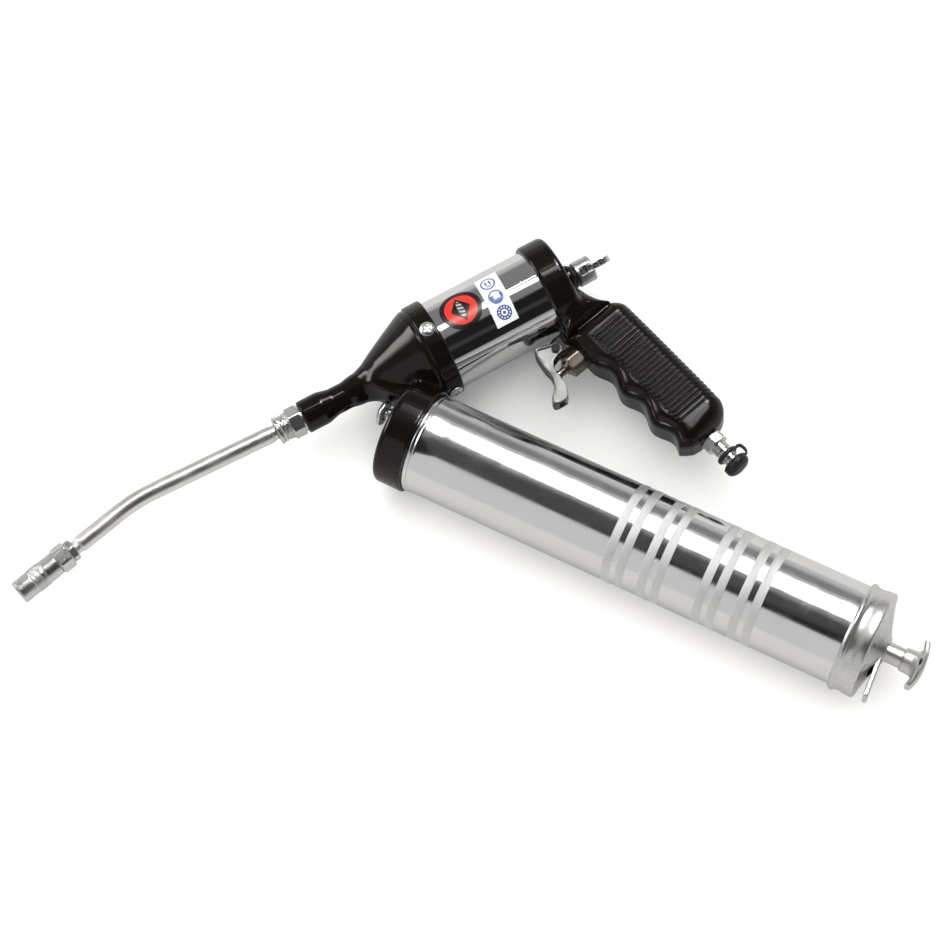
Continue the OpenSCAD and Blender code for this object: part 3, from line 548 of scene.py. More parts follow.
def badge_material():
    """Printed sticker: black rim, red disc, and a dark diamond with a silver bar of plain dashes."""
    p = Paint("badge print", coat=0.35)
    x, y = p.flat()[:2]
    far = (x * x + y * y).op("SQRT")
    diamond = x.size() * (1 / 6.0) + y.size() * (1 / 7.8)
    lens = (x * x * 0.30 + y * y * 0.028).op("SQRT")
    dashes = ((y + x * 0.35) * 2.6).op("SINE").step(-0.5, -0.1)
    red = colour_mix(p.tree, p.noise(500, 2), (0.56, 0.018, 0.010), (0.64, 0.030, 0.016))
    base = colour_mix(p.tree, far.step(9.3, 9.5), red, (0.006, 0.0045, 0.004))
    base = colour_mix(p.tree, inside(diamond, 1.0, 0.015), base, (0.006, 0.0045, 0.004))
    base = colour_mix(p.tree, inside(lens, 0.92, 0.05) * dashes, base, (0.34, 0.34, 0.33))
    p.colour(base)
    p.rough(p.noise(150, 4).ramp(0.16, 0.34))
    p.bump(p.noise(500, 2), 0.004)
    return p.mat


DISC_STEP = 10.2


def label_material():
    """Printed sticker: white with three round blue marks made of plain shapes."""
    p = Paint("label print", coat=0.3)
    x, y = p.flat()[:2]
    blue, white = (0.020, 0.055, 0.21), (0.66, 0.665, 0.68)
    base = colour_mix(p.tree, p.noise(300, 3), (0.60, 0.605, 0.62), (0.68, 0.685, 0.70))
    for place in (1, 0, -1):
        v = y - place * DISC_STEP
        far = (x * x + v * v).op("SQRT")
        if place == 1:
            mark = inside((far - 3.9).size(), 0.42) \
                .high(inside((x.size() - 1.2).size(), 0.5) * inside((v - 0.5).size(), 1.3)) \
                .high(inside(x.size(), 1.5) * inside((v + 2.0).size(), 0.35))
        elif place == 0:
            page = inside((x - 0.5).size(), 1.9) * inside((v - 0.6).size(), 1.8)
            mark = inside((far - 3.9).size(), 0.42).high(inside(far, 4.0) * inside(v, 1.4, 0.2))
            mark = mark * (page * -1.0 + 1.0)
        else:
            teeth = (v.op("ARCTAN2", x) * 12.0).op("SINE").step(-0.2, 0.2)
            mark = inside(far, 4.3) * (inside((far - 3.1).size(), 0.42) * teeth * -1.0 + 1.0) \
                * (inside((far - 1.4).size(), 0.5) * -1.0 + 1.0)
        base = colour_mix(p.tree, mark, base, blue)
    p.colour(base)
    p.rough(p.noise(150, 4).ramp(0.22, 0.4))
    p.bump(p.noise(400, 2), 0.004)
    return p.mat


BAND = band_material()
BADGE = badge_material()
LABEL = label_material()

CAD_FINISH = {
    "plunger_packing": RUBBER, "coupler_seal": RUBBER, "front_gasket": RUBBER, "rear_gasket": RUBBER,
    "piston_seal": RUBBER, "valve_seal": RUBBER, "barrel_gasket": RUBBER, "follower_cup": RUBBER,
    "packing_bush": BRASS, "inlet_filter": BRASS, "air_piston": ALLOY, "plunger": STEEL,
    "check_seat": STEEL, "check_ball": STEEL, "coupler_jaws": STEEL, "piston_nut": STEEL,
    "follower_nut": STEEL, "follower_plate": STEEL, "spring_seat": STEEL,
    "trigger_pin": DARK, "pin_clips": DARK,
}
for node_name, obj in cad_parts.items():
    finish = CAD_FINISH.get(node_name, WIRE if "spring" in node_name else PLATE)
    obj.data.materials.clear()
    obj.data.materials.append(finish)

# ---------------------------------------------------------------- pump head

HEAD = soften([
    (-20.2, 8.9), (-19.5, 9.6), (-7.6, 9.6), (-0.8, 7.9), (7.7, 7.8), (12, 8.8), (17, 9.3), (22.5, 11.3),
    (28.3, 14.6), (40, 20.6), (52, 26.5), (55.6, 28.0), (56.0, 27.2), (57.0, 27.4), (57.4, 28.85),
    (67.3, 28.85), (67.8, 28.3)], 0.8, 2)
COLLAR = soften([(39.8, 27.4), (40.5, 29.6), (42.5, 30.5), (56.6, 30.5), (57.1, 30.0)], 1.2, 2)
PORT_N = 19.5


def head_field(x, y, z):
    d, n = seen_from(BARREL, x, y)
    body = turned_field(x, y, z, HEAD)
    collar = turned_field(d, n, z, COLLAR)
    web = box_field(d, n, z, (15, 14.3, -11), (50, 33, 11), 2.2)
    shoulder = box_field(d, n, z, (33, 15.0, -9), (47, 40, 9), 2.0)
    solid = melt(melt(body, web, 3.5), melt(collar, shoulder, 4.0), 3.0)
    dimple = length((x - 5.5) / 1.7, (y + 7.9), z / 1.0) - 2.0
    solid = carve(solid, dimple, 0.8)
    # bores along the air cylinder's axis, then those along the barrel's
    for x0, x1, r in ((-23, -12, 6.35), (-14, 43, 4.1), (42, 55, 8.05), (54, 58.6, 20), (57.5, 70, 26.42)):
        solid = carve(solid, bar_field(x, y, z, x0, x1, r), 0.2)
    for d0, d1, offset, r in ((44.5, 60, 0, 28.55), (13.4, 46, PORT_N, 3.3), (38, 46, BLEEDER_N, 3.1)):
        solid = carve(solid, bar_field(d, n - offset, z, d0, d1, r), 0.2)
    return solid


cast("pump_head_casting", head_field, (-21.5, -68, -31.5), (69, 31, 31.5), 0.62, GUN, ENAMEL, "gun",
     "pump_head")


def screw_field(x, y, z):
    """Pan head with a cross recess, standing on z = 0."""
    far = length(x, y)
    dome = meet(far - 4.35, length(far, z + 6.4) - 8.5, 0.3)
    head = meet(dome, -z, 0.05)
    cross = np.minimum(np.maximum(np.abs(x) - 0.55 - 0.12 * z, np.abs(y) - 2.5),
                       np.maximum(np.abs(y) - 0.55 - 0.12 * z, np.abs(x) - 2.5))
    return melt(carve(head, np.maximum(cross, 0.9 - z), 0.12), bar_field(z, x, y, -3.5, 0.3, 2.0), 0.1)


SCREW_X = 62.3
screw_points, screw_quads = net(screw_field, (-4.5, -4.5, -3.6), (4.5, 4.5, 2.4), 0.26)
all_points, all_quads = [], []
for i, around in enumerate((0, 90, 180)):
    seat = np.array(Matrix.Translation((SCREW_X, 0, 0)) @ Matrix.Rotation(math.radians(around), 4, "X")
                    @ Matrix.Translation((0, 0, 28.86)) @ Matrix.Rotation(math.radians(23 + 31 * i), 4, "Z"))
    all_points.append(screw_points @ seat[:3, :3].T + seat[:3, 3])
    all_quads += [[v + i * len(screw_points) for v in q] for q in screw_quads]
piece("rim_screws", np.concatenate(all_points), all_quads, GUN, PLATE, "gun", "head_screws")

# ---------------------------------------------------------------- outlet, pipe and coupler

hex_adapter = hexagon(16.5, 30)
adapter_thread = thread(-35.2, -28.9, 1.75, 0.85)
THREAD_END = -28.75


def adapter_shape(angle, x, r):
    """A thread in front of the hexagon."""
    return np.where(x > THREAD_END, hex_adapter(angle, x, r), adapter_thread(angle, x, r))


def only_outside(shape, limit):
    """The shape, kept off radii up to limit."""
    return lambda angle, x, r: np.where(r > limit, shape(angle, x, r), r)


lathe("outlet_fitting", [
    (-36.8, 5.05), (-36.8, 7.4), (-36.3, 8.05), (-35.3, 8.05), (-35.0, 7.9), (-29.2, 8.0), (-28.9, 7.6),
    (-28.6, 8.2), (-27.6, 9.5), (-21.9, 9.5), (-21.5, 9.0), (-21.4, 7.9), (-20.3, 7.9), (-20.25, 6.3),
    (-15.1, 6.2), (-15.1, 4.2), (-27, 4.2), (-27, 2.5), (-31.8, 2.5), (-31.8, 5.05)],
    GUN, PLATE, "gun", "outlet_adapter", sides=120, closed=True, spacing=0.32,
    round_mm=0.15, shape=only_outside(adapter_shape, 6.6))


def pipe_path(s):
    """The pipe's bent centreline: (x, y, heading) at run s."""
    bend = math.radians(PIPE_BEND)
    if s < PIPE_FIRST:
        return s, 0.0, 0.0
    if s < PIPE_FIRST + PIPE_BEND_R * bend:
        a = (s - PIPE_FIRST) / PIPE_BEND_R
        return PIPE_FIRST + PIPE_BEND_R * math.sin(a), PIPE_BEND_R * (1 - math.cos(a)), a
    rest = s - PIPE_FIRST - PIPE_BEND_R * bend
    return (PIPE_FIRST + PIPE_BEND_R * math.sin(bend) + rest * math.cos(bend),
            PIPE_BEND_R * (1 - math.cos(bend)) + rest * math.sin(bend), bend)


PIPE_RUN = PIPE_FIRST + PIPE_BEND_R * math.radians(PIPE_BEND)
lathe("bent_delivery_pipe", [
    (0, 2), (0, 4.3), (2.4, 4.35), (3.2, 5), (PIPE_RUN + 27.5, 5), (PIPE_RUN + 28.4, 4.25),
    (PIPE_RUN + 40.4, 4.2), (PIPE_RUN + 40.4, 2)],
    PIPE, PIPE_PLATE, "gun", "delivery_pipe", sides=64, closed=True, spacing=2.2,
    round_mm=0.4, path=pipe_path)

lathe("coupler_locking_nut", [(31.5, 4.3), (31.5, 5.7), (32.1, 6.6), (34.9, 6.6), (35.4, 6.0), (35.4, 4.3)],
      NOZZLE, PLATE, "gun", "coupler_locknut", sides=96, closed=True, spacing=0.35,
      shape=only_outside(hexagon(12.2, 20), 5.0), round_mm=0.1)
lathe("coupler_hexagon", [
    (35.5, 4.25), (35.5, 6.9), (36.3, 8.2), (42.9, 8.2), (43.8, 7.0), (43.8, 5.3), (50, 5.3), (50, 2),
    (41.5, 2), (41.5, 4.25)], NOZZLE, PLATE, "gun", "coupler_body", sides=120, closed=True,
    spacing=0.35, round_mm=0.12, shape=only_outside(hexagon(14.5, 44), 5.6))
TIP, MOUTH = 70.9, 4.9
lathe("coupler_sleeve", [
    (43.95, 5.34), (43.95, 6.6), (44.4, 7.0), (52.4, 7.0), (52.7, 6.8), (53.0, 7.0), (60.8, 7.0), (61.1, 6.8),
    (61.4, 7.0), (69.9, 7.0), (TIP, 6.2), (TIP, 4.2), (TIP - MOUTH, 4.2), (TIP - MOUTH, 5.34)],
    NOZZLE, PLATE, "gun", "coupler_cap", sides=144, closed=True, spacing=0.35,
    round_mm=0.2, shape=only_outside(knurl([(53.0, 60.8)], 36, 0.32), 6.5))

# ---------------------------------------------------------------- bleeder

lathe("bleeder_knob", [
    (25.2, 0), (25.25, 1.6), (25.6, 3.0), (25.9, 3.3), (25.75, 3.7), (26.3, 5.2), (27.2, 6.6), (28.0, 7.3),
    (28.7, 7.5), (29.5, 7.3), (29.6, 6.8), (29.6, 4.1), (28.4, 4.1), (28.4, 3.0), (29.6, 3.0), (29.6, 1.5),
    (38, 1.5), (38, 0)],
    BLEEDER, PLATE, "bleeder_button", "bleeder_button", sides=96, round_mm=0.2)
lathe("bleeder_stub", [
    (31.5, 2.6), (31.5, 3.9), (31.8, 4.2), (39.4, 4.2), (39.7, 3.9), (39.75, 3.0), (44.4, 3.0), (44.4, 1.55),
    (36, 1.55), (36, 2.6)],
    BLEEDER, COOL, "gun", "bleeder_body", sides=96, closed=True, round_mm=0.1,
    shape=only_outside(hexagon(7.3, 10), 3.5))

# ---------------------------------------------------------------- air cylinder and stickers

lathe("air_cylinder_tube", [(58.7, 24.5), (58.7, 26.35), (139.6, 26.35), (139.6, 24.5)],
      GUN, CHROME, "gun", "air_cylinder", sides=192, closed=True, spacing=10)


def patch(name, spread, centre_x, centre_turn, half_x, half_round, mat, node, lift):
    """A sticker on the air cylinder: a closed thin sheet, with flat coordinates in millimetres."""
    radius = 26.37
    nx, ny = 64, 72
    s = np.linspace(-1, 1, nx + 1)
    t = np.linspace(-1, 1, ny + 1)
    pts, flat_xy = [], []
    for layer in (lift, 0.0):
        for a in s:
            for b in t:
                fx, fy = spread(a, b, half_x, half_round)
                angle = math.radians(centre_turn) + fy / radius
                r = radius + layer
                pts.append((centre_x + fx, r * math.sin(angle), r * math.cos(angle)))
                flat_xy.append((fx, fy))
    faces = []
    w = ny + 1
    size = (nx + 1) * w
    for i in range(nx):
        for j in range(ny):
            a = i * w + j
            faces.append([a, a + 1, a + w + 1, a + w][::-1])
            faces.append([size + a, size + a + 1, size + a + w + 1, size + a + w])
    rim = ([i * w for i in range(nx)] + [nx * w + j for j in range(ny)]
           + [i * w + ny for i in range(nx, 0, -1)] + [j for j in range(ny, 0, -1)])
    for a, b in zip(rim, rim[1:] + rim[:1]):
        faces.append([a, b, size + b, size + a][::-1])
    flat = [flat_xy[v] for f in faces for v in f]
    return piece(name, pts, faces, GUN, mat, "gun", node, 40, flat)


def disc_map(a, b, half_x, half_round):
    """A square's points spread over a disc."""
    return (half_x * a * math.sqrt(1 - b * b / 2), half_round * b * math.sqrt(1 - a * a / 2))


def label_map(a, b, half_x, half_round):
    """A slightly skewed rectangle."""
    return a * half_x + 0.8 * b, b * half_round


patch("round_badge", disc_map, 84.7, 6.0, 12.2, 12.2, BADGE, "badge_disc", 0.12)
patch("blue_disc_label", label_map, 105.2, -1.2, 6.7, 16.8, LABEL, "info_label", 0.12)

# ---------------------------------------------------------------- handle casting and grip

CAP = soften([(131.2, 27.9), (132.2, 28.85), (144.5, 28.85), (145.7, 28.4), (146.5, 27.3), (146.8, 25.6),
              (146.8, 9.2), (147.2, 8.1), (152.0, 8.0), (152.5, 7.4)], 0.9, 3)
NECK = (soften([(3, -14), (8, -2), (14, -1.3), (20, 0.1), (25, 2.3), (30.2, 6.6)], 3.0, 4)
        + soften([(30.2, -27), (27, -26.7), (22, -22), (14, -18)], 3.0, 4))
NECK_HALF, NECK_ROUND = 15.3, 8.8
PIVOT = (122.7, -36.2)
LUG = [(138, -27.0), (124, -29.4), (120.6, -31.2), (119.1, -34.4), (119.3, -38.0), (121.6, -39.8),
       (129, -39.0), (138, -40.5)]


def casting_field(x, y, z):
    u, v = seen_from(HANDLE, x, y)
    cap = turned_field(x, y, z, CAP)
    neck = meet(outline_field(u, v, NECK), np.abs(z) - NECK_HALF, NECK_ROUND)
    lug = meet(outline_field(x, y, LUG), np.abs(z) - 2.6, 0.6)
    core = box_field(u, v, z, (28, -20, -9), (122, 4, 9), 1.0)
    solid = melt(melt(melt(cap, neck, 4.0), lug, 1.5), core, 0.3)
    for x0, x1, r in ((120, 140.9, 26.42), (139, 143.3, 22), (147.9, 153, 4.05), (152.5, 158.6, 9)):
        solid = carve(solid, bar_field(x, y, z, x0, x1, r), 0.2)
    solid = carve(solid, length(x - PIVOT[0], y - PIVOT[1]) - 2.05, 0.15)
    solid = carve(solid, bar_field(u, v - INLET_V, z, VALVE_U, 124, 3.5), 0.2)
    solid = carve(solid, bar_field(u, v - INLET_V, z, 108, 124, 5.05), 0.2)
    solid = carve(solid, bar_field(-v, u - VALVE_U, z, 5, 35, 6.05), 0.2)
    return carve(solid, bar_field(-v, u - VALVE_U, z, 26.95, 45, 7.8), 0.2)


cast("handle_casting_body", casting_field, (110, -125, -29.5), (190, 30, 29.5), 0.8, GUN, ENAMEL, "gun",
     "handle_casting")

FINGER_FIRST, FINGER_PITCH, FINGER_DEPTH, GRIP_FRONT = 50.5, 25.0, 4.2, -27.0


def finger_v(u):
    return GRIP_FRONT + FINGER_DEPTH / 2 * (1 - math.cos(2 * math.pi * (u - FINGER_FIRST) / FINGER_PITCH))


GRIP_OUTLINE = ([(30.3, 6.2), (33.5, 9.4), (36.5, 10.9), (40, 11.3), (111, 10.5)]
                + [(113 + 12.8 * math.cos(math.radians(a)), -2.2 + 12.8 * math.sin(math.radians(a)))
                   for a in (78, 66, 54, 42, 30, 18, 8)]
                + [(126.6, -9), (126.6, -14.5), (125.6, -19.2), (123.2, -22.6)]
                + [(u, finger_v(u)) for u in np.arange(120.5, FINGER_FIRST - 0.1, -2.0)]
                + [(30.3, GRIP_FRONT)])
RIB_FIRST, RIB_PITCH, RIB_COUNT, RIB_DEPTH = 41.3, 3.0, 24, 0.85


def grip_field(u, v, z):
    edge = outline_field(u, v, GRIP_OUTLINE)
    # the sides swell a little in the middle and draw in towards the front
    half = 15.5 - 0.012 * np.maximum(-v - 14, 0) ** 2 - 0.0006 * (u - 78) ** 2 * (u < 78)
    half = half - 0.004 * np.maximum(u - 100, 0) ** 2
    back = np.clip((v + 16) / 12, 0, 1)
    skin = meet(edge, np.abs(z) - half, 7.6 + 1.2 * back * back * (3 - 2 * back))
    # ribbed panel: from a border line on each side, round the back
    panel = np.minimum(np.minimum(u - 39.6, 112.4 - u), v + 17.4)
    on = np.clip(panel / 1.2, 0, 1)
    wave = 0.5 - 0.5 * np.cos(2 * math.pi * (u - RIB_FIRST) / RIB_PITCH)
    wave = np.clip(wave * 2.0 - 0.8, 0, 1)
    skin = skin + RIB_DEPTH * wave * on
    line = np.abs(panel + 0.5) - 0.3
    skin = skin + 0.12 * np.clip(1 - line / 0.35, 0, 1) * (line < 0.35)
    solid = carve(skin, box_field(u, v, z, (20, -20.1, -9.1), (122.1, 4.1, 9.1)), 0.2)
    solid = carve(solid, bar_field(-v, u - VALVE_U, z, 15, 30, 6.3), 0.4)
    return carve(solid, bar_field(u, v - INLET_V, z, 116, 129, 5.2), 0.4)


cast("ribbed_grip", grip_field, (30, -28, -16.5), (128, 12, 16.5), 0.5, HANDLE, GRIP, "gun",
     "grip_sleeve")

# ---------------------------------------------------------------- trigger

TRIGGER_FRONT = [(112.2, -30.6), (111.3, -34), (111.3, -38.7), (111.7, -43.8), (112.8, -48.5), (112.5, -52.3),
                 (111.1, -55.9), (109.5, -58.5), (107.6, -60.4), (106.1, -62.2)]
TRIGGER_BACK = [(105.6, -63.9), (106.1, -65.4), (110.1, -66.1), (113.5, -65.8), (115.3, -63.7),
                (116.6, -60.4), (117.1, -56.5), (116.7, -51.5), (115.9, -48.2), (116.4, -45.4), (118.1, -42)]
LOBE = [(PIVOT[0] + 3.5 * math.cos(math.radians(a)), PIVOT[1] + 3.5 * math.sin(math.radians(a)))
        for a in range(-95, 106, 20)]
CHEEK = TRIGGER_FRONT + TRIGGER_BACK + LOBE
BLADE = ([(x - 0.3, y) for x, y in TRIGGER_FRONT] + [(105.4, -64.2), (106.1, -65.6), (108.4, -66.0)]
         + [(x + 1.9, y + 0.3) for x, y in reversed(TRIGGER_FRONT)])


def trigger_field(x, y, z):
    side = outline_field(x, y, CHEEK)
    cheek = meet(side, np.abs(np.abs(z) - 3.75) - 0.84, 0.45)
    blade = meet(outline_field(x, y, BLADE), np.abs(z) - 4.55, 1.0)
    rim = meet(np.abs(side + 0.5) - 0.65, np.abs(np.abs(z) - 4.1) - 1.1, 0.35)
    rim = np.maximum(rim, -(y + 33.5))
    solid = melt(melt(cheek, blade, 1.3), rim, 0.5)
    return carve(solid, length(x - PIVOT[0], y - PIVOT[1]) - 2.05, 0.15)


cast("trigger_lever", trigger_field, (103, -67.5, -6), (127, -29.5, 6), 0.33, GUN, ZINC, "trigger",
     "trigger")

# ---------------------------------------------------------------- air valve and inlet

lathe("valve_housing", [
    (5.5, 3.0), (5.5, 6), (27.05, 6), (27.05, 6.9), (27.9, 7.75), (35.3, 7.75), (36.2, 6.7), (36.2, 4.4),
    (38.0, 4.2), (38.0, 2.56), (20, 2.56), (20, 3.4), (7, 3.4), (7, 3.0)],
    VALVE, WARM, "gun", "valve_body",
    sides=120, closed=True, spacing=0.4, round_mm=0.12, shape=only_outside(hexagon(13.2, 44), 6.2))
lathe("valve_plunger", [
    (12, 0), (12, 1.2), (16.1, 1.2), (16.1, 3.1), (17.6, 3.1), (17.6, 2.5), (40.6, 2.5), (40.9, 2.1),
    (42.0, 2.1), (42.3, 2.5), (44.45, 2.5), (45.15, 1.9), (45.15, 0)],
    VALVE, WARM, "valve_stem", "valve_stem",
    sides=48, round_mm=0.15)
lathe("air_plug_nipple", [
    (110, 3.6), (110, 5), (126.6, 5), (126.65, 5.6), (127.3, 7.4), (131.9, 7.4), (132.6, 6.4), (132.9, 4.7),
    (136.8, 4.7), (137.3, 4.2), (138.6, 4.2), (139.1, 4.7), (142.6, 4.7), (143, 4.2), (147.3, 4.2),
    (148, 3.5), (148, 2.5), (118, 2.5), (118, 3.6)],
    INLET, PLATE, "gun", "inlet_nipple", sides=120, closed=True, spacing=0.4,
    round_mm=0.12, shape=only_outside(hexagon(13, 45), 5.3))
lathe("dust_cap_cup", [
    (145.2, 4.35), (145.2, 6.7), (145.7, 7.4), (146.3, 7.4), (146.5, 7.2), (146.7, 7.4), (148.6, 7.4),
    (150, 6.8), (151.2, 5), (151.55, 2.6), (151.6, 0), (148.3, 0), (148.3, 4.25)],
    INLET, RUBBER, "dust_cap", "dust_cap", sides=96, round_mm=0.35, sharp=45)


def strap_mesh(route, half_wide, half_thick, steps):
    """A flat strap along a smooth route in the x, y plane."""
    route = [np.array(p, float) for p in route]
    padded = [2 * route[0] - route[1]] + route + [2 * route[-1] - route[-2]]
    line = []
    for a, b, c, d in zip(padded, padded[1:], padded[2:], padded[3:]):
        for k in range(steps):
            t = k / steps
            line.append(0.5 * (2 * b + (c - a) * t + (2 * a - 5 * b + 4 * c - d) * t * t
                               + (3 * b - a - 3 * c + d) * t ** 3))
    line.append(route[-1])
    ring = soften([(half_thick, half_wide), (-half_thick, half_wide), (-half_thick, -half_wide),
                   (half_thick, -half_wide)], 0.6, 4, closed=True)
    pts, faces = [], []
    for i, p in enumerate(line):
        ahead = line[min(i + 1, len(line) - 1)] - line[max(i - 1, 0)]
        ahead /= np.linalg.norm(ahead)
        for thick, wide in ring:
            pts.append((p[0] - ahead[1] * thick, p[1] + ahead[0] * thick, wide))
    n = len(ring)
    for i in range(len(line) - 1):
        for j in range(n):
            k = (j + 1) % n
            faces.append([i * n + j, (i + 1) * n + j, (i + 1) * n + k, i * n + k])
    faces.append(list(range(n)))
    faces.append([(len(line) - 1) * n + j for j in range(n - 1, -1, -1)])
    return pts, faces


lathe("tether_ring", [(139.0, 4.8), (139.0, 6.1), (139.3, 6.4), (140.8, 6.4), (141.1, 6.1), (141.1, 4.8)],
      INLET, RUBBER, "gun", sides=72, closed=True, round_mm=0.25)
strap_points, strap_faces = strap_mesh(
    [(140.0, 5.6), (139.8, 7.8), (140.8, 9.3), (142.8, 9.7), (145.0, 9.5), (146.2, 8.6), (146.3, 7.3)],
    1.6, 0.65, 6)
strap = piece("tether_strap", strap_points, strap_faces, INLET, RUBBER, None,
              "cap_tether", 50)
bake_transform(strap)

# ---------------------------------------------------------------- hanging eye

lathe("hanger_washer", [
    (152.55, 4.35), (152.55, 6.6), (152.8, 7), (153.45, 7), (153.7, 6.6), (153.7, 4.35)], GUN, RUBBER,
    "gun", "hanger_boss", closed=True, round_mm=0.1)
EYE_X, PIN_X = 171.4, 162.0
CLEVIS = soften([(148.5, 4.0), (153.0, 4.0), (153.1, 4.2), (154.55, 4.2), (154.6, 7.0), (155.3, 7.6),
                 (165.0, 7.6), (165.7, 6.9)], 0.3, 3)


def clevis_field(x, y, z):
    solid = turned_field(x, y, z, CLEVIS)
    solid = carve(solid, box_field(x, y, z, (157, -2.3, -9), (168, 2.3, 9)), 0.3)
    return carve(solid, length(x - PIN_X, z) - 1.55, 0.15)


def eye_field(x, y, z):
    root = length(x - PIN_X, z) - 4.2
    strip = box_field(x, z, 0 * x, (PIN_X, -4.2, -1), (EYE_X, 4.2, 1))
    flat_shape = melt(root, np.minimum(length(x - EYE_X, z) - 5.6, strip), 0.6)
    plate = meet(flat_shape, np.abs(y) - 1.8, 0.45)
    return carve(carve(plate, length(x - PIN_X, z) - 1.55, 0.15), length(x - EYE_X, z) - 3.2, 0.35)


cast("hanger_post", clevis_field, (148, -8, -8), (166, 8, 8), 0.36, HANGER, PLATE, "gun",
     "hanger_clevis")
cast("hanger_tab", eye_field, (157, -2.2, -6), (177.5, 2.2, 6), 0.3, HANGER, PLATE, "hanging_eye",
     "hanger_eye")
pin_place = HANGER @ Matrix.Translation((PIN_X, 0, 0)) @ turn(90)
lathe("hanger_rivet", [
    (-7.4, 0), (-7.4, 1.1), (-7.0, 1.5), (7.0, 1.5), (7.4, 1.1), (7.4, 0)], pin_place, STEEL, "gun",
    "hanger_pin", sides=40, round_mm=0.15)

# ---------------------------------------------------------------- grease barrel

BEADED_END = soften([
    (46, 27.5), (46, 28.5), (57.7, 28.5), (58.0, 28.75), (58.9, 29.0), (59.8, 28.7), (60.1, 28.45),
    (60.5, 28.65), (61.0, 28.85), (61.6, 28.65), (62.0, 28.5)], 0.3, 3)
lathe("grease_barrel", BEADED_END + [(327, 28.5), (327, 27.5)],
      BARREL, BRUSHED, "gun", "barrel_tube", sides=240, closed=True, spacing=12)
BANDS = [s + i * 8.3 for s in (180.5, 202.0, 235.0, 256.3) for i in (0, 1)]
BAND_WIDE, KNURL_LINES = 5.0, 156
for i, start in enumerate(BANDS):
    end = start + BAND_WIDE
    lathe(f"knurled_band_{i + 1}", [
        (start, 28.45), (start, 28.54), (start + 0.2, 28.6), (end - 0.2, 28.6), (end, 28.54), (end, 28.45)],
        BARREL, BAND, "gun", sides=KNURL_LINES * 4, closed=True, spacing=0.28, sharp=None,
        shape=knurl([(start + 0.2, end - 0.2)], KNURL_LINES, 0.07))

END = soften([
    (316.2, 28.55), (316.2, 29.6), (316.9, 30.7), (318.0, 31.0), (319.1, 30.6), (320.2, 29.7), (323.2, 29.6),
    (326.0, 30.2), (329.6, 30.4), (330.6, 29.6), (330.7, 28.0), (331.0, 26.3), (332.6, 20.5), (334.6, 13.4),
    (336.4, 8.6), (337.3, 7.6), (337.3, 5.6), (336.3, 5.6), (336.2, 7.4), (330.4, 25.2), (328.7, 27.6),
    (328.6, 28.55)], 0.9, 3, closed=True)
end_cap = lathe("pressed_end_cap", END, BARREL, PLATE, "gun", "end_cap", sides=180,
                closed=True, sharp=50)
# the recess that the release tab tilts into
slot_box = bpy.data.meshes.new("slot_cutter")
corners = [BARREL @ Vector((x, y, z)) * MM for x in (333.2, 340) for y in (-18.5, -6) for z in (-6.9, 6.9)]
slot_box.from_pydata([tuple(c) for c in corners], [], [
    (0, 1, 3, 2), (4, 6, 7, 5), (0, 4, 5, 1), (2, 3, 7, 6), (0, 2, 6, 4), (1, 5, 7, 3)])
cutter = bpy.data.objects.new("slot_cutter", slot_box)
bpy.context.scene.collection.objects.link(cutter)
cut = end_cap.modifiers.new("slot", "BOOLEAN")
cut.object, cut.operation, cut.solver = cutter, "DIFFERENCE", "EXACT"
bpy.context.view_layer.update()
cut_mesh = bpy.data.meshes.new_from_object(end_cap.evaluated_get(bpy.context.evaluated_depsgraph_get()))
end_cap.modifiers.clear()
end_cap.data = cut_mesh
bpy.data.objects.remove(cutter)

LATCH_PIVOT, LATCH_TILT = (334.6, 6.4), 4.6
LATCH = BARREL @ Matrix.Translation((*LATCH_PIVOT, 0)) @ turn(LATCH_TILT)


def latch_field(x, y, z):
    """The tilting tab: a plate with a rod hole and a rolled top edge."""
    plate = meet(box_field(y, z, 0 * x, (-36.4, -6.5, -1), (0, 6.5, 1), 1.6), np.abs(x) - 1.2, 0.5)
    rolled = meet(length(x, y) - 1.2, np.abs(z) - 6.5, 0.4)
    return carve(melt(plate, rolled, 0.3), length(y + 6.4, z) - 6.2, 0.25)


cast("rod_release_tab", latch_field, (-2, -37.2, -7), (2, 1.8, 7), 0.34, LATCH, SATIN, "rod_latch",
     "rod_latch")

lathe("pull_rod", [
    (62.05, 0), (62.05, 5.55), (348, 5.55), (350, 5.3), (350, 0)], BARREL, SATIN, "follower",
    "follower_rod", sides=72, spacing=15, round_mm=0.3)


def pull_field(x, y, z):
    """Curved cross bar with a hub that flares into it."""
    curve = length(x - 321.0, y)
    sheet = meet(np.abs(curve - 36.5) - 1.5, np.abs(y) - 13.9, 0.9)
    bar = meet(sheet, np.abs(z) - (6.6 - 0.012 * y * y), 1.0)
    hub = turned_field(x, y, z, [(346.5, 6.3), (347.2, 6.7), (352, 7.0), (356.6, 8.4)])
    solid = melt(np.maximum(bar, 340 - x), hub, 2.6)
    return carve(solid, bar_field(x, y, z, 340, 350, 5.6), 0.2)


cast("pull_handle", pull_field, (346, -15, -7.5), (360, 15, 7.5), 0.34, BARREL, SATIN, "follower",
     "t_handle")

# ---------------------------------------------------------------- studio

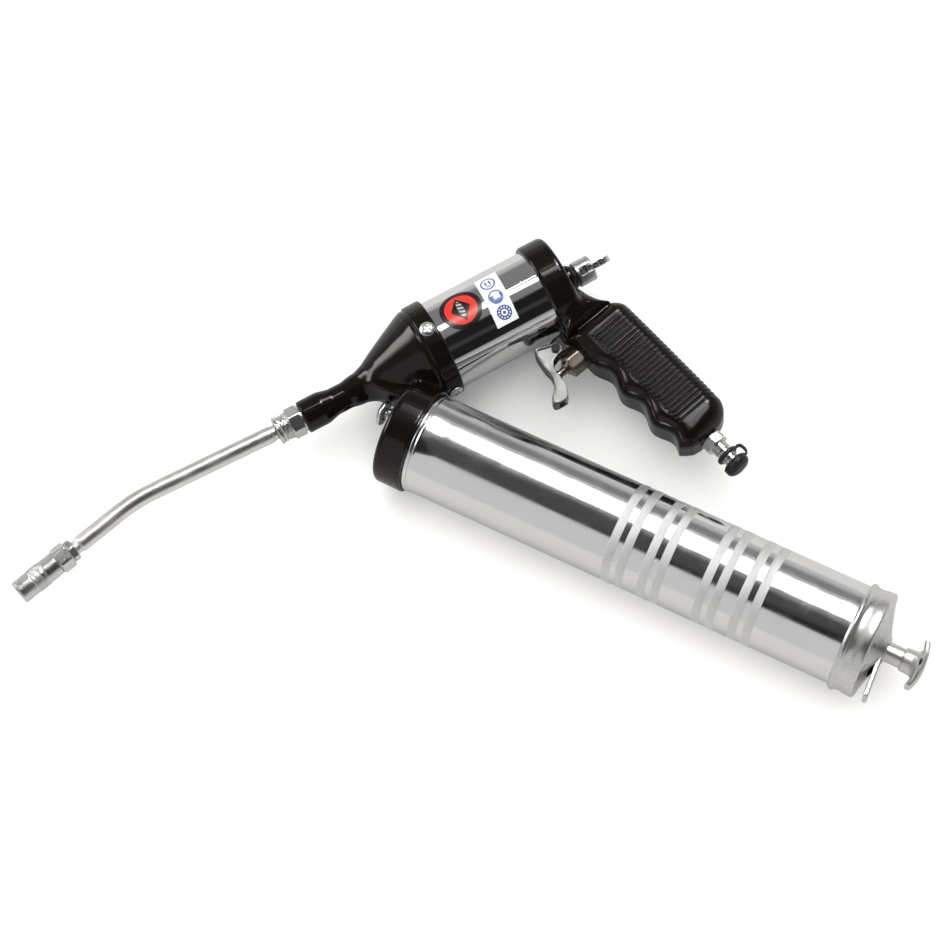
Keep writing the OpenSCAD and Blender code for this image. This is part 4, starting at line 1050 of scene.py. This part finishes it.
floor_mesh = bpy.data.meshes.new("studio_floor")
HALF_FLOOR = 6.0
floor_corners = [(x * HALF_FLOOR, y * HALF_FLOOR, 0) for x, y in ((-1, -1), (1, -1), (1, 1), (-1, 1))]
floor_mesh.from_pydata(floor_corners, [], [(0, 1, 2, 3)])
floor = bpy.data.objects.new("studio_floor", floor_mesh)
bpy.context.scene.collection.objects.link(floor)
ground = Paint("pale floor")
ground_ray = ground.tree.nodes.new("ShaderNodeLightPath")
pale = colour_mix(ground.tree, ground.noise(6, 3), (0.90, 0.90, 0.90), (0.94, 0.94, 0.94))
# painted shade: the floor is coloured a darker grey where it is seen in reflections, so its mirror image in
# the metal is dimmer
seen_in_metal = Num(ground.tree, ground_ray.outputs["Is Glossy Ray"])
ground.colour(colour_mix(ground.tree, seen_in_metal, pale, (0.47, 0.465, 0.455)))
ground.rough(ground.noise(20, 2).ramp(0.75, 0.9))
floor_mesh.materials.append(ground.mat)

# The studio round the gun. Matt surfaces see an even white dome. Mirrors see a grey tent with a pale
# left wall, a dark side where the camera stands, a strip light for the cone, and one bright panel with
# a small hot core. A round flag in front of the panel keeps its light off the flat tops.
world = bpy.data.worlds.new("studio")
bpy.context.scene.world = world
world.use_nodes = True
world.cycles.sampling_method = "NONE"
sky = world.node_tree
direction = sky.nodes.new("ShaderNodeTexCoord")
split = sky.nodes.new("ShaderNodeSeparateXYZ")
sky.links.new(direction.outputs["Generated"], split.inputs[0])
dx, dy, dz = (Num(sky, split.outputs[i]) for i in range(3))
up = dz.high(0.04)
across, along = dx / up, dy / up
DOME, TENT, HORIZON, WALL, HALO, STRIP = 1.45, 0.23, 0.56, 0.66, 0.46, 9.0
PANEL, CORE, SHADE, DARK_SIDE, STREAK = 9.0, 70.0, 0.07, 0.014, 0.045


def span(number, a, b, soft):
    """1 between a and b, 0 outside."""
    return number.step(a - soft, a + soft) * (number.step(b - soft, b + soft) * -1.0 + 1.0)


light = dz * 0.0 + TENT
light = light.toward(HORIZON, inside(dz, 0.25, 0.12))
light = light.toward(WALL, inside(across, -0.80, 0.06) * inside(along, -0.15, 0.1))
light = light.toward(STRIP, span(across, -1.55, -0.72, 0.15) * span(along, 0.75, 1.95, 0.3))
light = light.toward(SHADE, span(across, -0.80, -0.08, 0.06) * span(along, -0.5, 0.2, 0.06))
camera_side = span(across, -0.80, 1.0, 0.1) * span(along, -3.0, -0.2, 0.07) * dz.step(0.24, 0.34)
light = light.toward(DARK_SIDE, camera_side)
light = light.toward(STREAK, camera_side * span(along, -1.05, -0.72, 0.1))
run, skew = (across + along) * 0.5, along - across
light = light.toward(HALO, span(run, 0.62, 1.0, 0.08) * span(skew, -0.4, 0.4, 0.1))
light = light.toward(PANEL, span(run, 0.17, 0.66, 0.035) * span(skew, -0.28, 0.25, 0.03))
flag_x, flag_y = run - 0.30, skew - 0.16
light = light.toward(SHADE, inside((flag_x * flag_x + flag_y * flag_y).op("SQRT"), 0.075, 0.02))
core_x, core_y = run - 0.36, skew
light = light.toward(CORE, inside((core_x * core_x + core_y * core_y * 0.3).op("SQRT"), 0.05, 0.015))
path = sky.nodes.new("ShaderNodeLightPath")
matt, direct = (Num(sky, path.outputs[f"Is {kind} Ray"]) for kind in ("Diffuse", "Camera"))
light = light.toward(DOME, matt.high(direct))
background = sky.nodes["Background"]
sky.links.new(light.socket, background.inputs["Strength"])
background.inputs["Color"].default_value = (1.0, 0.99, 0.975, 1)

fill = bpy.data.lights.new("soft_fill", "AREA")
fill.shape, fill.size, fill.energy = "DISK", 2.2, 16
fill_object = bpy.data.objects.new("soft_fill", fill)
FILL_AT = Vector((0.35, 0.8, 1.9))
fill_object.location = FILL_AT
fill_object.rotation_euler = (-FILL_AT).to_track_quat("-Z", "Y").to_euler()
fill_object.visible_glossy = False
bpy.context.scene.collection.objects.link(fill_object)

camera_data = bpy.data.cameras.new("camera")
LENS_MM, SENSOR_MM = 102.66, 36.0
camera_data.lens, camera_data.sensor_width = LENS_MM, SENSOR_MM
camera_data.clip_start, camera_data.clip_end = 0.1, 20.0
camera = bpy.data.objects.new("camera", camera_data)
bpy.context.scene.collection.objects.link(camera)
CAMERA_AT = Vector((-114.39, -609.01, 1392.04))
FORWARD = Vector((0.10804, 0.35435, -0.92885)).normalized()
right = FORWARD.cross(Vector((0.46515, 0.80772, 0.36224))).normalized()
place = Matrix((right, right.cross(FORWARD), -FORWARD)).transposed().to_4x4()
place.translation = MM * (GUN @ CAMERA_AT)
camera.matrix_world = place
bpy.context.scene.camera = camera
bpy.context.scene.view_settings.view_transform = "Standard"
